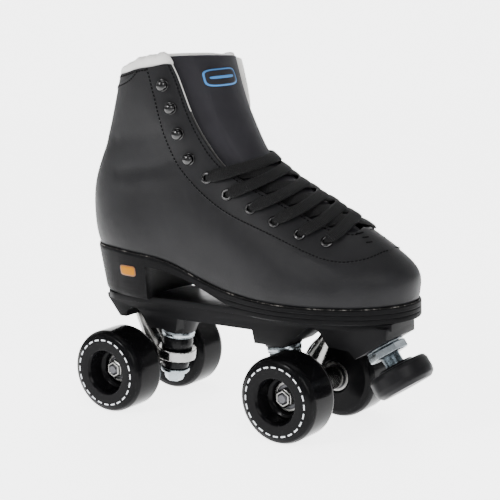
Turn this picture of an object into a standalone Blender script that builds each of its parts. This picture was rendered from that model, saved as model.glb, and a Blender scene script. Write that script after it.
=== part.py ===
"""Quad roller skate, right foot: a lace-up boot on a nylon plate with two trucks, four wheels and a toe stop.

+X points to the toe, +Y to the wearer's left, which is the inner side of this shoe, and +Z up.  While it is
modelled, x = 0 is half way between the axles and z = 0 is the floor.  At the end everything moves along X
and Y together, so that the origin lies on the floor below the middle of the whole skate.
"""
import math

import bmesh
import bpy
import numpy as np
from mathutils import Matrix, Vector

MM = 0.001

# ---------------------------------------------------------------- driving dimensions
GAP = 0.3 * MM                  # between pieces that seat on, or fit in, each other
BOOT_GAP = 0.5 * MM             # between the boot's curved pieces

WHEEL_RADIUS = 31.0 * MM
WHEEL_WIDTH = 32.2 * MM
WHEELBASE = 154.5 * MM
TRACK = 75.6 * MM               # between the middles of two wheels on one axle
TREAD_ROUND = 5.0 * MM          # rounding between a wheel's tread and its faces
RECESS_RADIUS = 16.5 * MM       # mouth of the hub recess
AXLE_RADIUS = 4.0 * MM
BEARING_RADIUS = 11.0 * MM
BEARING_WIDTH = 7.0 * MM
SEAT_MARGIN = 1.0 * MM          # bearing's seat beyond its outer face
RECESS_LIP = 1.2 * MM
BEARING_SPACING = 1.6 * MM      # between the two bearings of one wheel
AXLE_NUT_FLATS = 13.0 * MM
AXLE_NUT_HEIGHT = 6.2 * MM
AXLE_END = 1.0 * MM             # axle that shows past its nut

TRUCK_HEIGHT = 54.0 * MM        # axle to the plate's top
KINGPIN_REACH = 28.6 * MM       # axle to kingpin along X, at the cup
KINGPIN_LEAN = math.radians(9)  # the kingpin's foot leans towards its axle
KINGPIN_RADIUS = 4.7 * MM
KINGPIN_DEPTH = 14.0 * MM       # kingpin inside its housing
CUP_RADIUS = 12.6 * MM
CUP_HEIGHT = 4.6 * MM
CUSHION_UPPER_RADIUS = 12.0 * MM
CUSHION_UPPER_HEIGHT = 9.3 * MM
RING_RADIUS = 15.0 * MM
RING_HEIGHT = 8.0 * MM
CUSHION_BEVEL = 1.2 * MM
CUSHION_LOWER_RADIUS = 10.4 * MM
CUSHION_LOWER_HEIGHT = 7.2 * MM
WASHER_RADIUS = 11.2 * MM
WASHER_HEIGHT = 3.6 * MM
KINGPIN_HEAD_FLATS = 13.0 * MM
KINGPIN_HEAD_HEIGHT = 7.0 * MM
HEAD_BEVEL = 2.5 * MM
BARREL_RADIUS = 8.4 * MM        # cast barrel round the axle
WEB_START = 0.4                 # share of the way from axle to ring where the web starts
WEB_FLARE = 1.25                # web's foot over the barrel
WEB_HEIGHT = 0.46               # web's end over the ring's height
ARM_RADIUS = 8.2 * MM           # pivot arm at its root
RIB_SPREAD = 0.86               # ribs' feet as a share of the barrel's half
RIB_INBOARD = 3.0 * MM
RIB_TOP = 15.0 * MM
RIB_FOOT_RADIUS = 4.5 * MM
RIB_TOP_RADIUS = 5.5 * MM
PIVOT_REACH = 10.5 * MM         # axle to the pivot's tip, outwards along X
PIVOT_HEIGHT = 39.5 * MM        # axle to the pivot's tip, up
PIVOT_RADIUS = 4.2 * MM
PIVOT_CLEARANCE = 1.4 * MM
PIVOT_SOCKET = 14.0 * MM        # depth cut clear round the pivot's tip
PIVOT_FLARE = 1.2 * MM

FLANGE = 4.6 * MM               # thickness of the plate's top flange
SPINE_WIDTH = 38.0 * MM         # plate's beam below the flange
SPINE_DEPTH = 15.6 * MM         # plate's top to the beam's underside
PLATE_TAIL = -103.0 * MM
PLATE_NOSE = 147.0 * MM
BOSS_RADIUS = 13.4 * MM         # kingpin housing at its foot
BOSS_FLARE = 1.45               # housing's head over its foot
BOSS_HEIGHT = 23.0 * MM
DRILL_START = 6.0 * MM          # where a drill starts, outside what it cuts

STOP_RADIUS = 22.3 * MM
STOP_THICKNESS = 16.5 * MM
STOP_ROUND = 4.0 * MM
STOP_LEAN = math.radians(33.4)  # toe stop's axis, forwards of straight down
STOP_X = 133.0 * MM             # where the stem leaves the plate
STOP_STEM_RADIUS = 7.0 * MM
STOP_STEM_LENGTH = 17.0 * MM    # stem between plate and rubber
STOP_STEM_DEPTH = 9.0 * MM      # stem inside the plate
STOP_SOCKET = 6.0 * MM          # stem inside the rubber
STOP_WASHER = 1.2 * MM
STOP_BOSS = 1.6 * MM            # raised middle of the rubber's top
HOUSING_LENGTH = 10.0 * MM      # nose round the toe stop's stem
HOUSING_TOP_RADIUS = 17.5 * MM
HOUSING_FOOT_RADIUS = 14.5 * MM
STOP_NUT_FLATS = 25.0 * MM
STOP_NUT_HEIGHT = 6.5 * MM

BOOT_LENGTH = 269.0 * MM        # heel bulge to toe
BALL_WIDTH = 95.0 * MM
SHAFT_HEIGHT = 127.5 * MM       # heel seat to the leather's top edge at the back
LINING_ROLL = 6.0 * MM          # padded lining above the leather edge
WALL = 3.0 * MM                 # leather, foam and lining together
HEEL_RISE = 24.9 * MM           # heel seat above the ball
SOLE_EDGE = 11.0 * MM           # sole's thickness under the ball
WELT = 1.6 * MM                 # sole's edge past the upper
SOLE_BEVEL = 1.0 * MM           # rounding along the sole's foot
HEEL_TAPER = 5.0 * MM           # heel's foot inside its top
BREAST_X = -50.0 * MM           # front face of the heel
BREAST_HOLLOW = 7.0 * MM
INSOLE_THICKNESS = 3.0 * MM
INSOLE_GAP = 1.2 * MM           # round the insole's edge
TONGUE_THICKNESS = 5.0 * MM
TONGUE_UNDERLAP = 10.0 * MM     # tongue hidden under each side of the throat
TONGUE_GIRTH = 100.0            # millimetres round a half of the boot, about, over the throat
TONGUE_SWELL = 2.2              # how fast the tongue swells inwards of the throat's edge
TONGUE_FLAT_TOE = 7.0           # height over its root that stays sunk
TONGUE_TOE_RISE = 12.0
TONGUE_TOP_SINK = 0.4 * MM
TONGUE_ROWS = 12
TONGUE_COLUMNS = 9
TONGUE_FOOT = 38.0              # height of the tongue's hidden root
TONGUE_TOP = 143.0
TONGUE_TOE_GAP = 1.6 * MM       # room between the tongue's root and the vamp above it
SOLE_COLUMNS = 26

EYELET_RADIUS = 4.3 * MM
EYELET_BORE = 2.3 * MM
EYELET_BARREL = 3.0 * MM        # radius of the part that passes through the upper
EYELET_FLANGE = 0.6 * MM
HOOK_RADIUS = 4.2 * MM
HOOK_HEIGHT = 4.6 * MM
HOOK_NECK = 1.8 * MM
LACE_WIDTH = 8.0 * MM
LACE_THICKNESS = 1.5 * MM
LACE_LIFT = 2.9 * MM            # lace's underside above the boot's surface
LACE_STEP = 0.3 * MM            # one strap above the other where they cross
LACE_DIP = 0.9 * MM             # strap's fall towards the edge that it tucks under
LACE_TUCK = 0.02                # from the throat's edge to the tucked end, round the ring
EYELET_LIFT = 1.5 * MM          # flange's underside above the skin
HOOK_LIFT = 1.2 * MM

# ---------------------------------------------------------------- shape of the last, in millimetres
# heights above the heel seat, with the heel's and the front's place along X, and how far a ring follows
# the sole line instead of lying level
HEIGHTS = [0, 8, 20, 35, 50, 67, 87, 106, 126, 143]
BACK_X = [-113.8, -115.5, -116.6, -116.1, -112.5, -104.2, -94.8, -87.8, -80.5, -74.0]
FRONT_X = [152.0, 153.7, 153.1, 131.8, 94.4, 49.6, 27.7, 16.0, 7.5, 1.5]
FOLLOW = [1, 1, 0.95, 0.8, 0.55, 0.3, 0.12, 0.04, 0, 0]
TABLE_LENGTH = 269.0
TABLE_WIDTH = 95.0
TABLE_SHAFT = 127.5
TABLE_RISE = 24.9
# half widths at places round a ring, from the back (0) to the front (1), for each height
PLACES = [0, 0.12, 0.25, 0.4, 0.5, 0.62, 0.75, 0.88, 1.0]
SHAFT_WIDTHS = [
    [60, 56, 48, 39, 37, 38, 39, 38, 36],
    [57, 53, 46, 39, 37, 37, 37, 36, 33],
    [54, 51, 45, 40, 39, 41, 41, 39, 34],
    [51, 49, 45, 42, 42, 44, 44.5, 41, 36],
    [49, 48, 45, 43.5, 43.5, 45, 45, 42, 37],
    [47, 47, 45, 44, 44.5, 45.5, 44.5, 42, 38]]
OUTER_WIDTHS = [
    [60, 54, 46, 34, 35, 47, 55, 61, 64],
    [62, 57, 49, 36, 37, 48, 57, 62, 66],
    [63, 59, 51, 38, 38, 47, 54, 58, 58],
    [62, 58, 50, 39, 38, 43, 46, 46, 44]] + SHAFT_WIDTHS
INNER_WIDTHS = [
    [60, 54, 45, 30, 30, 44, 55, 62, 64],
    [62, 57, 48, 32, 32, 45, 57, 63, 66],
    [63, 59, 50, 35, 35, 45, 54, 58, 58],
    [62, 58, 50, 38, 37, 42, 46, 46, 44]] + SHAFT_WIDTHS
TOE_SWING = [(0, 0), (0.45, 0), (0.7, 2.5), (0.9, 6), (1, 7.5)]     # toe's turn towards the inner side
SWING_FADE = 90.0                                                   # height where the turn has gone
# drop of the sole line below the heel seat, along X; level behind the first place
SOLE_LINE = [(-80, 0), (-60, 1.6), (-30, 5.8), (0, 15.7), (30, 22.2), (60, 24.4), (95, 25.1), (130, 24.8),
             (165, 23.8)]
# edge of the throat and the collar, as place round the ring and height, from the toe to the back
THROAT_EDGE = [(1.0, 42.3), (0.945, 41.4), (0.9, 41.2), (0.865, 42.8), (0.831, 46), (0.808, 52), (0.78, 58.7),
               (0.754, 65.5), (0.738, 74), (0.727, 86), (0.722, 98), (0.719, 111), (0.712, 121),
               (0.701, 130), (0.684, 138)]
COLLAR_EDGE = [(0.64, 138.2), (0.566, 136.5), (0.472, 135), (0.38, 132.2), (0.28, 130), (0.18, 128.6),
               (0.09, 127.7), (0, 127.5)]
EYELETS = [(0.642, 64.3), (0.656, 56.7), (0.684, 51), (0.713, 45.7), (0.748, 40.7), (0.798, 37.5)]
HOOKS = [(0.622, 123.6), (0.639, 107.8), (0.632, 90.6), (0.628, 74.5)]

# ---------------------------------------------------------------- values worked out from them
AXLE_Z = WHEEL_RADIUS
PLATE_TOP = AXLE_Z + TRUCK_HEIGHT
SOLE_FOOT = PLATE_TOP + GAP
SEAT_Z = SOLE_FOOT + SOLE_EDGE + HEEL_RISE
LENGTH_SCALE = BOOT_LENGTH / TABLE_LENGTH
WIDTH_SCALE = BALL_WIDTH / TABLE_WIDTH
HEIGHT_SCALE = SHAFT_HEIGHT / TABLE_SHAFT
RISE_SCALE = HEEL_RISE / TABLE_RISE
RIM = THROAT_EDGE + COLLAR_EDGE
CORNER = len(THROAT_EDGE) - 1   # the rim's last point on the throat

# stack along the kingpin, measured down from the foot of its housing
CUP_AT = GAP
CUSHION_UPPER_AT = CUP_AT + CUP_HEIGHT + GAP
RING_AT = CUSHION_UPPER_AT + CUSHION_UPPER_HEIGHT + GAP
CUSHION_LOWER_AT = RING_AT + RING_HEIGHT + GAP
WASHER_AT = CUSHION_LOWER_AT + CUSHION_LOWER_HEIGHT + GAP
HEAD_AT = WASHER_AT + WASHER_HEIGHT + GAP
HOUSING_FOOT = 26.0 * MM        # axle to the foot of the kingpin's housing, up

WHEEL_INNER = (TRACK - WHEEL_WIDTH) / 2
WHEEL_OUTER = (TRACK + WHEEL_WIDTH) / 2
BEARING_INNER_AT = WHEEL_INNER + 0.6 * MM
BEARING_OUTER_AT = BEARING_INNER_AT + BEARING_WIDTH + BEARING_SPACING
AXLE_NUT_AT = BEARING_OUTER_AT + BEARING_WIDTH + GAP

LACE_STATIONS = 8
WHEEL_STEPS = 24
SMALL_STEPS = 12
TINY_STEPS = 8

SKATE = bpy.data.collections.new("roller_skate")
CUTTERS = bpy.data.collections.new("cutters")


# ---------------------------------------------------------------- making and finishing objects
def material(name, colour, roughness, metallic=0.0):
    """A Principled material, made once for each name."""
    made = bpy.data.materials.get(name)
    if made is None:
        made = bpy.data.materials.new(name)
        made.use_nodes = True
        shader = made.node_tree.nodes["Principled BSDF"]
        shader.inputs["Base Color"].default_value = (*colour, 1)
        shader.inputs["Roughness"].default_value = roughness
        shader.inputs["Metallic"].default_value = metallic
    return made


def leather():
    return material("black_leather", (0.018, 0.018, 0.02), 0.5)


def padding():
    return material("tongue_leather", (0.022, 0.022, 0.025), 0.55)


def felt():
    return material("insole_felt", (0.32, 0.32, 0.33), 0.9)


def sole_rubber():
    return material("sole_rubber", (0.02, 0.02, 0.022), 0.45)


def nylon():
    return material("black_nylon", (0.02, 0.02, 0.022), 0.4)


def cast_metal():
    return material("polished_aluminium", (0.72, 0.71, 0.69), 0.25, 1.0)


def zinc():
    return material("bright_zinc", (0.7, 0.74, 0.76), 0.25, 1.0)


def steel():
    return material("bearing_steel", (0.6, 0.6, 0.6), 0.25, 1.0)


def urethane():
    return material("black_urethane", (0.012, 0.012, 0.013), 0.2)


def cushion_rubber():
    return material("cushion_rubber", (0.015, 0.015, 0.015), 0.35)


def stop_rubber():
    return material("stop_rubber", (0.015, 0.015, 0.016), 0.4)


def cord():
    return material("black_cord", (0.02, 0.02, 0.022), 0.85)


def gloss_metal():
    return material("black_gloss_metal", (0.01, 0.01, 0.012), 0.15, 0.4)


def keep(obj, finish=None, parent=None):
    """Puts a sub-part in the skate's collection, with its material and parent."""
    SKATE.objects.link(obj)
    obj.parent = parent
    if finish:
        obj.data.materials.append(finish)
    if obj.type == "MESH":
        obj.data.shade_smooth()
        obj.data.set_sharp_from_angle(angle=math.radians(35))
    return obj


def as_cutter(obj):
    """Puts a shape that cuts or joins another in the cutters' collection, out of sight."""
    CUTTERS.objects.link(obj)
    obj.hide_render = True
    obj.display_type = "WIRE"
    return obj


def boolean(obj, tool, operation, solver="EXACT"):
    modifier = obj.modifiers.new(f"{operation.lower()}_{tool.name}", "BOOLEAN")
    modifier.operation = operation
    modifier.object = tool
    modifier.solver = solver


def surface(name, points, faces):
    """An object from an array of points and a list of faces."""
    mesh = bpy.data.meshes.new(name)
    mesh.from_pydata([tuple(point) for point in points], [], faces)
    mesh.validate()
    return bpy.data.objects.new(name, mesh)


def turned(name, profile, steps):
    """A solid turned about Z.  The profile's (radius, height) points run down its outer side.

    A profile that starts or ends off the axis is a closed loop, which leaves a bore.
    """
    count = len(profile)
    looped = profile[0][0] > 0
    edges = [(i, i + 1) for i in range(count - 1)]
    if looped:
        edges.append((count - 1, 0))
    mesh = bpy.data.meshes.new(name)
    mesh.from_pydata([(radius, 0, height) for radius, height in profile], edges, [])
    obj = bpy.data.objects.new(name, mesh)
    screw = obj.modifiers.new("turn", "SCREW")
    screw.angle = 2 * math.pi
    screw.steps = steps
    screw.render_steps = steps
    screw.use_merge_vertices = True
    screw.merge_threshold = 0.00001
    screw.use_smooth_shade = True
    return obj


def ring_profile(bore, radius, top, height, bevel=0.0):
    """Loop for a plain ring, its outer corners bevelled, from its top down."""
    foot = top - height
    if bevel:
        outer = [(radius - bevel, top), (radius, top - bevel), (radius, foot + bevel), (radius - bevel, foot)]
    else:
        outer = [(radius, top), (radius, foot)]
    return [(bore, top)] + outer + [(bore, foot)]


def hexagon(name, flats, height):
    """A nut or bolt head about Z, its foot at 0."""
    mesh = bpy.data.meshes.new(name)
    shape = bmesh.new()
    radius = flats / 2 / math.cos(math.pi / 6)
    bmesh.ops.create_cone(shape, cap_ends=True, segments=6, radius1=radius, radius2=radius, depth=height)
    bmesh.ops.translate(shape, verts=shape.verts, vec=(0, 0, height / 2))
    shape.to_mesh(mesh)
    shape.free()
    return bpy.data.objects.new(name, mesh)


def rod(name, start, end, start_radius, end_radius, sides):
    """A capped cylinder or cone between two points."""
    start = Vector(start)
    along = Vector(end) - start
    mesh = bpy.data.meshes.new(name)
    shape = bmesh.new()
    bmesh.ops.create_cone(shape, cap_ends=True, segments=sides, radius1=start_radius, radius2=end_radius,
                          depth=along.length)
    turn = along.to_track_quat("Z", "Y").to_matrix().to_4x4()
    bmesh.ops.transform(shape, verts=shape.verts, matrix=Matrix.Translation(start + along / 2) @ turn)
    shape.to_mesh(mesh)
    shape.free()
    return bpy.data.objects.new(name, mesh)


def extruded(name, outline, half, upright=False):
    """A flat outline made a slab of twice half's thickness: in XY, or upright in XZ."""
    curve = bpy.data.curves.new(name, "CURVE")
    curve.dimensions = "2D"
    curve.fill_mode = "BOTH"
    curve.extrude = half
    spline = curve.splines.new("POLY")
    spline.points.add(len(outline) - 1)
    for point, (a, b) in zip(spline.points, outline):
        point.co = (a, b, 0, 1)
    spline.use_cyclic_u = True
    source = bpy.data.objects.new(name, curve)
    bpy.context.scene.collection.objects.link(source)
    bpy.context.view_layer.update()
    evaluated = source.evaluated_get(bpy.context.evaluated_depsgraph_get())
    mesh = bpy.data.meshes.new_from_object(evaluated)
    bpy.data.objects.remove(source)
    bpy.data.curves.remove(curve)
    shape = bmesh.new()
    shape.from_mesh(mesh)
    bmesh.ops.remove_doubles(shape, verts=shape.verts, dist=0.00001)
    if upright:
        bmesh.ops.rotate(shape, verts=shape.verts, matrix=Matrix.Rotation(math.pi / 2, 3, "X"))
    bmesh.ops.recalc_face_normals(shape, faces=shape.faces)
    shape.to_mesh(mesh)
    shape.free()
    return bpy.data.objects.new(name, mesh)


# ---------------------------------------------------------------- the last
def smooth(knots, at):
    """Natural cubic through (place, value) pairs, read at an array of places."""
    knots = np.asarray(knots, float)
    place, value = knots[:, 0], knots[:, 1:]
    count = len(place)
    step = np.diff(place)
    matrix = np.eye(count)
    bend = np.zeros((count, value.shape[1]))
    for i in range(1, count - 1):
        matrix[i, i - 1:i + 2] = step[i - 1], 2 * (step[i - 1] + step[i]), step[i]
        bend[i] = 6 * ((value[i + 1] - value[i]) / step[i] - (value[i] - value[i - 1]) / step[i - 1])
    second = np.linalg.solve(matrix, bend)
    at = np.asarray(at, float)
    flat = np.clip(at.ravel(), place[0], place[-1])
    i = np.clip(np.searchsorted(place, flat) - 1, 0, count - 2)
    before = (flat - place[i])[:, None]
    after = (place[i + 1] - flat)[:, None]
    span = step[i][:, None]
    out = (second[i] * after ** 3 + second[i + 1] * before ** 3) / (6 * span)
    out += (value[i] / span - second[i] * span / 6) * after
    out += (value[i + 1] / span - second[i + 1] * span / 6) * before
    return out[:, 0].reshape(at.shape) if value.shape[1] == 1 else out.reshape(at.shape + (value.shape[1],))


def half_width(widths, place, height):
    """A half width from its table, smooth both round the ring and up the boot."""
    row = smooth(np.column_stack([HEIGHTS, widths]), height).reshape(-1, len(PLACES))
    weights = smooth(np.column_stack([PLACES, np.eye(len(PLACES))]), place.ravel())
    return (row * weights).sum(1).reshape(place.shape)


def sole_line(x):
    """Height of the sole line at x."""
    return SEAT_Z - smooth(SOLE_LINE, x / LENGTH_SCALE) * RISE_SCALE


def last(place, height, side):
    """Points of the boot's outer surface: place 0 at the back to 1 at the front, height over the seat in mm.

    Side is -1 for the outer side of the foot and 1 for its inner side.
    """
    place, height = np.broadcast_arrays(np.asarray(place, float), np.asarray(height, float))
    back = smooth(list(zip(HEIGHTS, BACK_X)), height)
    front = smooth(list(zip(HEIGHTS, FRONT_X)), height)
    follow = smooth(list(zip(HEIGHTS, FOLLOW)), height)
    along = (1 - np.cos(np.pi * place)) / 2
    x = back + (front - back) * along
    widths = OUTER_WIDTHS if side < 0 else INNER_WIDTHS
    y = side * half_width(widths, place, height) * np.sin(np.pi * place)
    y = y + smooth(TOE_SWING, along) * np.clip(1 - height / SWING_FADE, 0, 1)
    z = SEAT_Z + height * HEIGHT_SCALE - follow * smooth(SOLE_LINE, x) * RISE_SCALE
    return np.stack([x * LENGTH_SCALE, y * WIDTH_SCALE, z], -1)


def last_normal(place, height, side):
    """Outward unit normals of the last, from differences along it."""
    step = 0.004
    a = last(np.clip(place + step, 0, 1), height, side) - last(np.clip(place - step, 0, 1), height, side)
    b = last(place, height + 1, side) - last(place, height - 1, side)
    normal = np.cross(a, b) * -side
    flat = np.abs(np.asarray(place) * np.ones(normal.shape[:-1]) - 0.5) > 0.499
    normal[flat, 1] = 0
    return normal / np.linalg.norm(normal, axis=-1)[..., None]


def grid_faces(rows, columns, closed, first=0):
    """Quads of a grid whose rows follow each other in the list of points."""
    faces = []
    for i in range(rows - 1):
        for j in range(columns if closed else columns - 1):
            k = (j + 1) % columns
            at = first + i * columns
            faces.append((at + j, at + columns + j, at + columns + k, at + k))
    return faces


def round_both_sides(outer, inner):
    """Joins two halves of rings, both from toe to back, to whole rings that run by the outer side first."""
    return np.concatenate([outer, inner[:, -2:0:-1]], axis=1)


# ---------------------------------------------------------------- soft parts of the boot
UPPER_ROWS = 11
THROAT_COLUMNS = 11
COLLAR_COLUMNS = 9
FOOT_PLACE_AT_CORNER = 0.4      # where the column of the throat's corner meets the sole
# how far a column turns forwards to meet the throat's edge squarely, by column
TURN = [(0, 0), (2, 0.2), (4, 0.8), (6, 1), (9, 1), (11, 0.5), (14, 0), (20, 0)]


def rim_point(column):
    """Rim's place and height for each column of a half, from the toe (0) to the back."""
    at = np.where(column <= THROAT_COLUMNS, column / THROAT_COLUMNS * CORNER,
                  CORNER + (column - THROAT_COLUMNS) / COLLAR_COLUMNS * (len(RIM) - 1 - CORNER))
    throat = smooth([(i, *point) for i, point in enumerate(THROAT_EDGE)], np.minimum(at, CORNER))
    collar = smooth([(i + CORNER, *point) for i, point in enumerate([THROAT_EDGE[-1]] + COLLAR_EDGE)],
                    np.maximum(at, CORNER))
    rim = np.where((at <= CORNER)[..., None], throat, collar)
    rim[..., 1] += np.where(at > CORNER, LINING_ROLL / HEIGHT_SCALE, 0)
    return rim


def upper_half(side):
    """Grid of the upper's outer surface on one side: rows from the sole to the rim, columns toe to back."""
    column = np.arange(THROAT_COLUMNS + COLLAR_COLUMNS + 1.0)
    rim = rim_point(column)
    foot = np.where(column <= THROAT_COLUMNS,
                    1 - (1 - FOOT_PLACE_AT_CORNER) * column / THROAT_COLUMNS,
                    FOOT_PLACE_AT_CORNER * (1 - (column - THROAT_COLUMNS) / COLLAR_COLUMNS))
    rise = np.linspace(0, 1, UPPER_ROWS)[:, None]
    turn = np.interp(column, *zip(*TURN))
    place = foot + (rim[:, 0] - foot) * rise ** (1 + 1.2 * turn)
    height = rim[:, 1] * (1 - (1 - rise) ** (1 + 0.6 * turn))
    return last(place, height, side)


def eyelet_frame(place, height, side):
    """Matrix of a fitting on the boot: Z out of the surface, from its skin."""
    place = np.array([place])
    height = np.array([height])
    point = Vector(last(place, height, side)[0])
    normal = Vector(last_normal(place, height, side)[0])
    return Matrix.Translation(point) @ normal.to_track_quat("Z", "Y").to_matrix().to_4x4()


def make_upper():
    points = round_both_sides(upper_half(-1), upper_half(1))
    rows, columns = points.shape[:2]
    upper = surface("upper", points.reshape(-1, 3), grid_faces(rows, columns, True))
    wall = upper.modifiers.new("wall", "SOLIDIFY")
    wall.thickness = WALL
    wall.offset = -1
    wall.use_even_offset = True
    for side in (-1, 1):
        for number, spot in enumerate(EYELETS):
            drill = rod(f"eyelet_drill_{number}_{side}", (0, 0, -2.5 * WALL), (0, 0, 2 * WALL),
                        EYELET_BARREL + GAP, EYELET_BARREL + GAP, 8)
            drill.matrix_world = eyelet_frame(*spot, side)
            boolean(upper, as_cutter(drill), "DIFFERENCE")
    return keep(upper, leather())




def throat_place(height):
    """Place of the throat's edge at a height, held at its last place below and above."""
    edge = [(h, t) for t, h in THROAT_EDGE[4:]]
    return smooth(edge, height)


def make_tongue():
    """Strip under the throat: sunk under its edges by the wall, swelling to the boot's skin between."""
    height = np.linspace(TONGUE_FOOT, TONGUE_TOP, TONGUE_ROWS)[:, None]
    across = np.linspace(1, -1, TONGUE_COLUMNS)[None, :]
    edge = throat_place(height)
    widest = edge - TONGUE_UNDERLAP / MM / TONGUE_GIRTH
    place = 1 - np.abs(across) * (1 - widest)
    open_share = np.clip((place - edge) / (1 - edge) * TONGUE_SWELL, 0, 1)
    swell = open_share * open_share * (3 - 2 * open_share)
    swell = swell * np.clip((height - TONGUE_FOOT - TONGUE_FLAT_TOE) / TONGUE_TOE_RISE, 0, 1)
    sunk = (WALL + GAP + TONGUE_TOE_GAP) * (1 - swell) + TONGUE_TOP_SINK * swell
    halves = []
    for side in (-1, 1):
        level = height * np.ones_like(place)
        halves.append(last(place, level, side) - last_normal(place, level, side) * sunk[..., None])
    points = np.where((across < 0)[..., None], halves[0], halves[1])
    points = points.reshape(-1, 3)
    tongue = surface("tongue", points, grid_faces(TONGUE_ROWS, TONGUE_COLUMNS, False))
    pad = tongue.modifiers.new("padding", "SOLIDIFY")
    pad.thickness = TONGUE_THICKNESS
    pad.offset = -1
    return keep(tongue, padding())


# ---------------------------------------------------------------- sole and insole
def outline_half(side, grow, columns=SOLE_COLUMNS):
    """Sole line's outline on one side from toe to back, grown outwards level by a distance."""
    place = np.linspace(1, 0, columns + 1)
    edge = last(place, 0.0 * place, side)
    normal = last_normal(place, 0.0 * place + 1.0, side)
    normal[:, 2] = 0
    normal /= np.linalg.norm(normal, axis=1)[:, None]
    return edge + normal * grow


def capped(name, rings, across):
    """Closed body through stacked rings, its two ends filled by strips across, ring point to ring point."""
    rows, columns = rings.shape[:2]
    faces = grid_faces(rows, columns, True)
    top = (rows - 1) * columns
    half = columns // 2
    for j in range(across):
        left, right = j, (columns - j) % columns
        left_next, right_next = j + 1, columns - j - 1
        foot = [left_next, right_next, right, left] if j else [1, columns - 1, 0]
        if left_next == half:
            foot = [half, right, left]
        faces.append(tuple(foot))
        faces.append(tuple(top + i for i in reversed(foot)))
    return surface(name, rings.reshape(-1, 3), faces)


def sole_rings():
    """Sole's side wall, from its foot up to the sole line, whole rings by the outer side first."""
    rings = []
    for share, grow in ((0, 0), (0.12, 1), (1, 1)):
        halves = []
        for side in (-1, 1):
            edge = outline_half(side, WELT)
            heel = np.clip((-30 * MM - edge[:, 0]) / (50 * MM), 0, 1)
            inset = heel * HEEL_TAPER * (1 - share) + (1 - grow) * SOLE_BEVEL
            taken = outline_half(side, WELT - inset[:, None])
            top = sole_line(edge[:, 0]) - BOOT_GAP
            taken[:, 2] = SOLE_FOOT + (top - SOLE_FOOT) * share
            halves.append(taken[None])
        rings.append(round_both_sides(*halves)[0])
    return np.array(rings)


ARCH_LINE = [(-50, 109.5), (-40, 107.5), (-28, 104), (-12, 98.5), (4, 92.6), (18, 87.6), (27, 84.4)]


def make_sole():
    sole = capped("sole_unit", sole_rings(), SOLE_COLUMNS)
    across = np.linspace(-1, 1, 9)[:, None] * 0.75 * BALL_WIDTH
    line = np.array(ARCH_LINE) * MM
    x = line[:, 0] - line[0, 0] + BREAST_X
    z = line[:, 1] + (SOLE_FOOT - 85.3 * MM)
    hollow = BREAST_HOLLOW * np.clip(1 - (across / (0.32 * BALL_WIDTH)) ** 2, 0, 1)
    below = SOLE_FOOT - 3 * MM
    ring_x = np.concatenate([x, x[-1:], x[:1]])
    ring_z = np.concatenate([z, [below, below]])
    fade = np.zeros(len(ring_x))
    fade[[0, -1]] = 1
    points = np.stack([ring_x - hollow * fade, across + 0 * ring_x, ring_z + 0 * across], -1)
    rows, columns = points.shape[:2]
    faces = grid_faces(rows, columns, True)
    faces += [tuple(range(columns))[::-1], tuple((rows - 1) * columns + j for j in range(columns))]
    arch = surface("arch_cutter", points.reshape(-1, 3), faces)
    shape = bmesh.new()
    shape.from_mesh(arch.data)
    bmesh.ops.recalc_face_normals(shape, faces=shape.faces)
    shape.to_mesh(arch.data)
    shape.free()
    boolean(sole, as_cutter(arch), "DIFFERENCE")
    return keep(sole, sole_rubber())


def make_insole():
    rings = []
    for lift in (0, INSOLE_THICKNESS):
        halves = []
        for side in (-1, 1):
            edge = outline_half(side, -(WALL + INSOLE_GAP))
            edge[:, 2] = sole_line(edge[:, 0]) + lift
            halves.append(edge[None])
        rings.append(round_both_sides(*halves)[0])
    return keep(capped("insole", np.array(rings), SOLE_COLUMNS), felt())


# ---------------------------------------------------------------- eyelets, hooks and lace
def make_eyelet(name, frame):
    """Flanged ring whose barrel passes through the upper."""
    top = EYELET_LIFT + EYELET_FLANGE
    profile = [(EYELET_BORE, top), (EYELET_RADIUS, top), (EYELET_RADIUS, EYELET_LIFT),
               (EYELET_BARREL, EYELET_LIFT), (EYELET_BARREL, -WALL), (EYELET_BORE, -WALL)]
    eyelet = turned(name, profile, TINY_STEPS)
    eyelet.matrix_world = frame
    return keep(eyelet, gloss_metal())


def make_hook(name, frame):
    """Lace hook: a round base, a neck and a domed head."""
    profile = [(0, HOOK_HEIGHT), (HOOK_RADIUS * 0.7, HOOK_HEIGHT - 0.5 * MM),
               (HOOK_RADIUS, HOOK_HEIGHT - 1.6 * MM), (HOOK_NECK, HOOK_HEIGHT - 1.6 * MM),
               (HOOK_NECK, HOOK_LIFT + EYELET_FLANGE), (HOOK_RADIUS, HOOK_LIFT + EYELET_FLANGE),
               (HOOK_RADIUS, HOOK_LIFT), (0, HOOK_LIFT)]
    hook = turned(name, profile, TINY_STEPS)
    hook.matrix_world = frame
    return keep(hook, gloss_metal())


def strap_points(start, end, lifts):
    """Middle line, width direction and normal of a flat strap laid over the throat on the boot's skin.

    It starts on the outer side and ends on the inner one, each a (place, height) on its half, and its
    underside goes from the first lift above the skin to the second.
    """
    share = np.linspace(0, 1, LACE_STATIONS)
    across = (1 - start[0]) * (1 - share) - (1 - end[0]) * share
    height = start[1] + (end[1] - start[1]) * share
    lift = (lifts[0] + (lifts[1] - lifts[0]) * share)[:, None]
    place = 1 - np.abs(across)
    normals = [last_normal(place, height, side) for side in (-1, 1)]
    skins = [last(place, height, side) for side in (-1, 1)]
    outer = (across > 0)[:, None]
    normal = np.where(outer, *normals)
    middle = np.where(outer, *skins) + normal * lift
    wide = np.cross(np.gradient(middle, axis=0), normal)
    return middle, wide / np.linalg.norm(wide, axis=1)[:, None], normal


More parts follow.
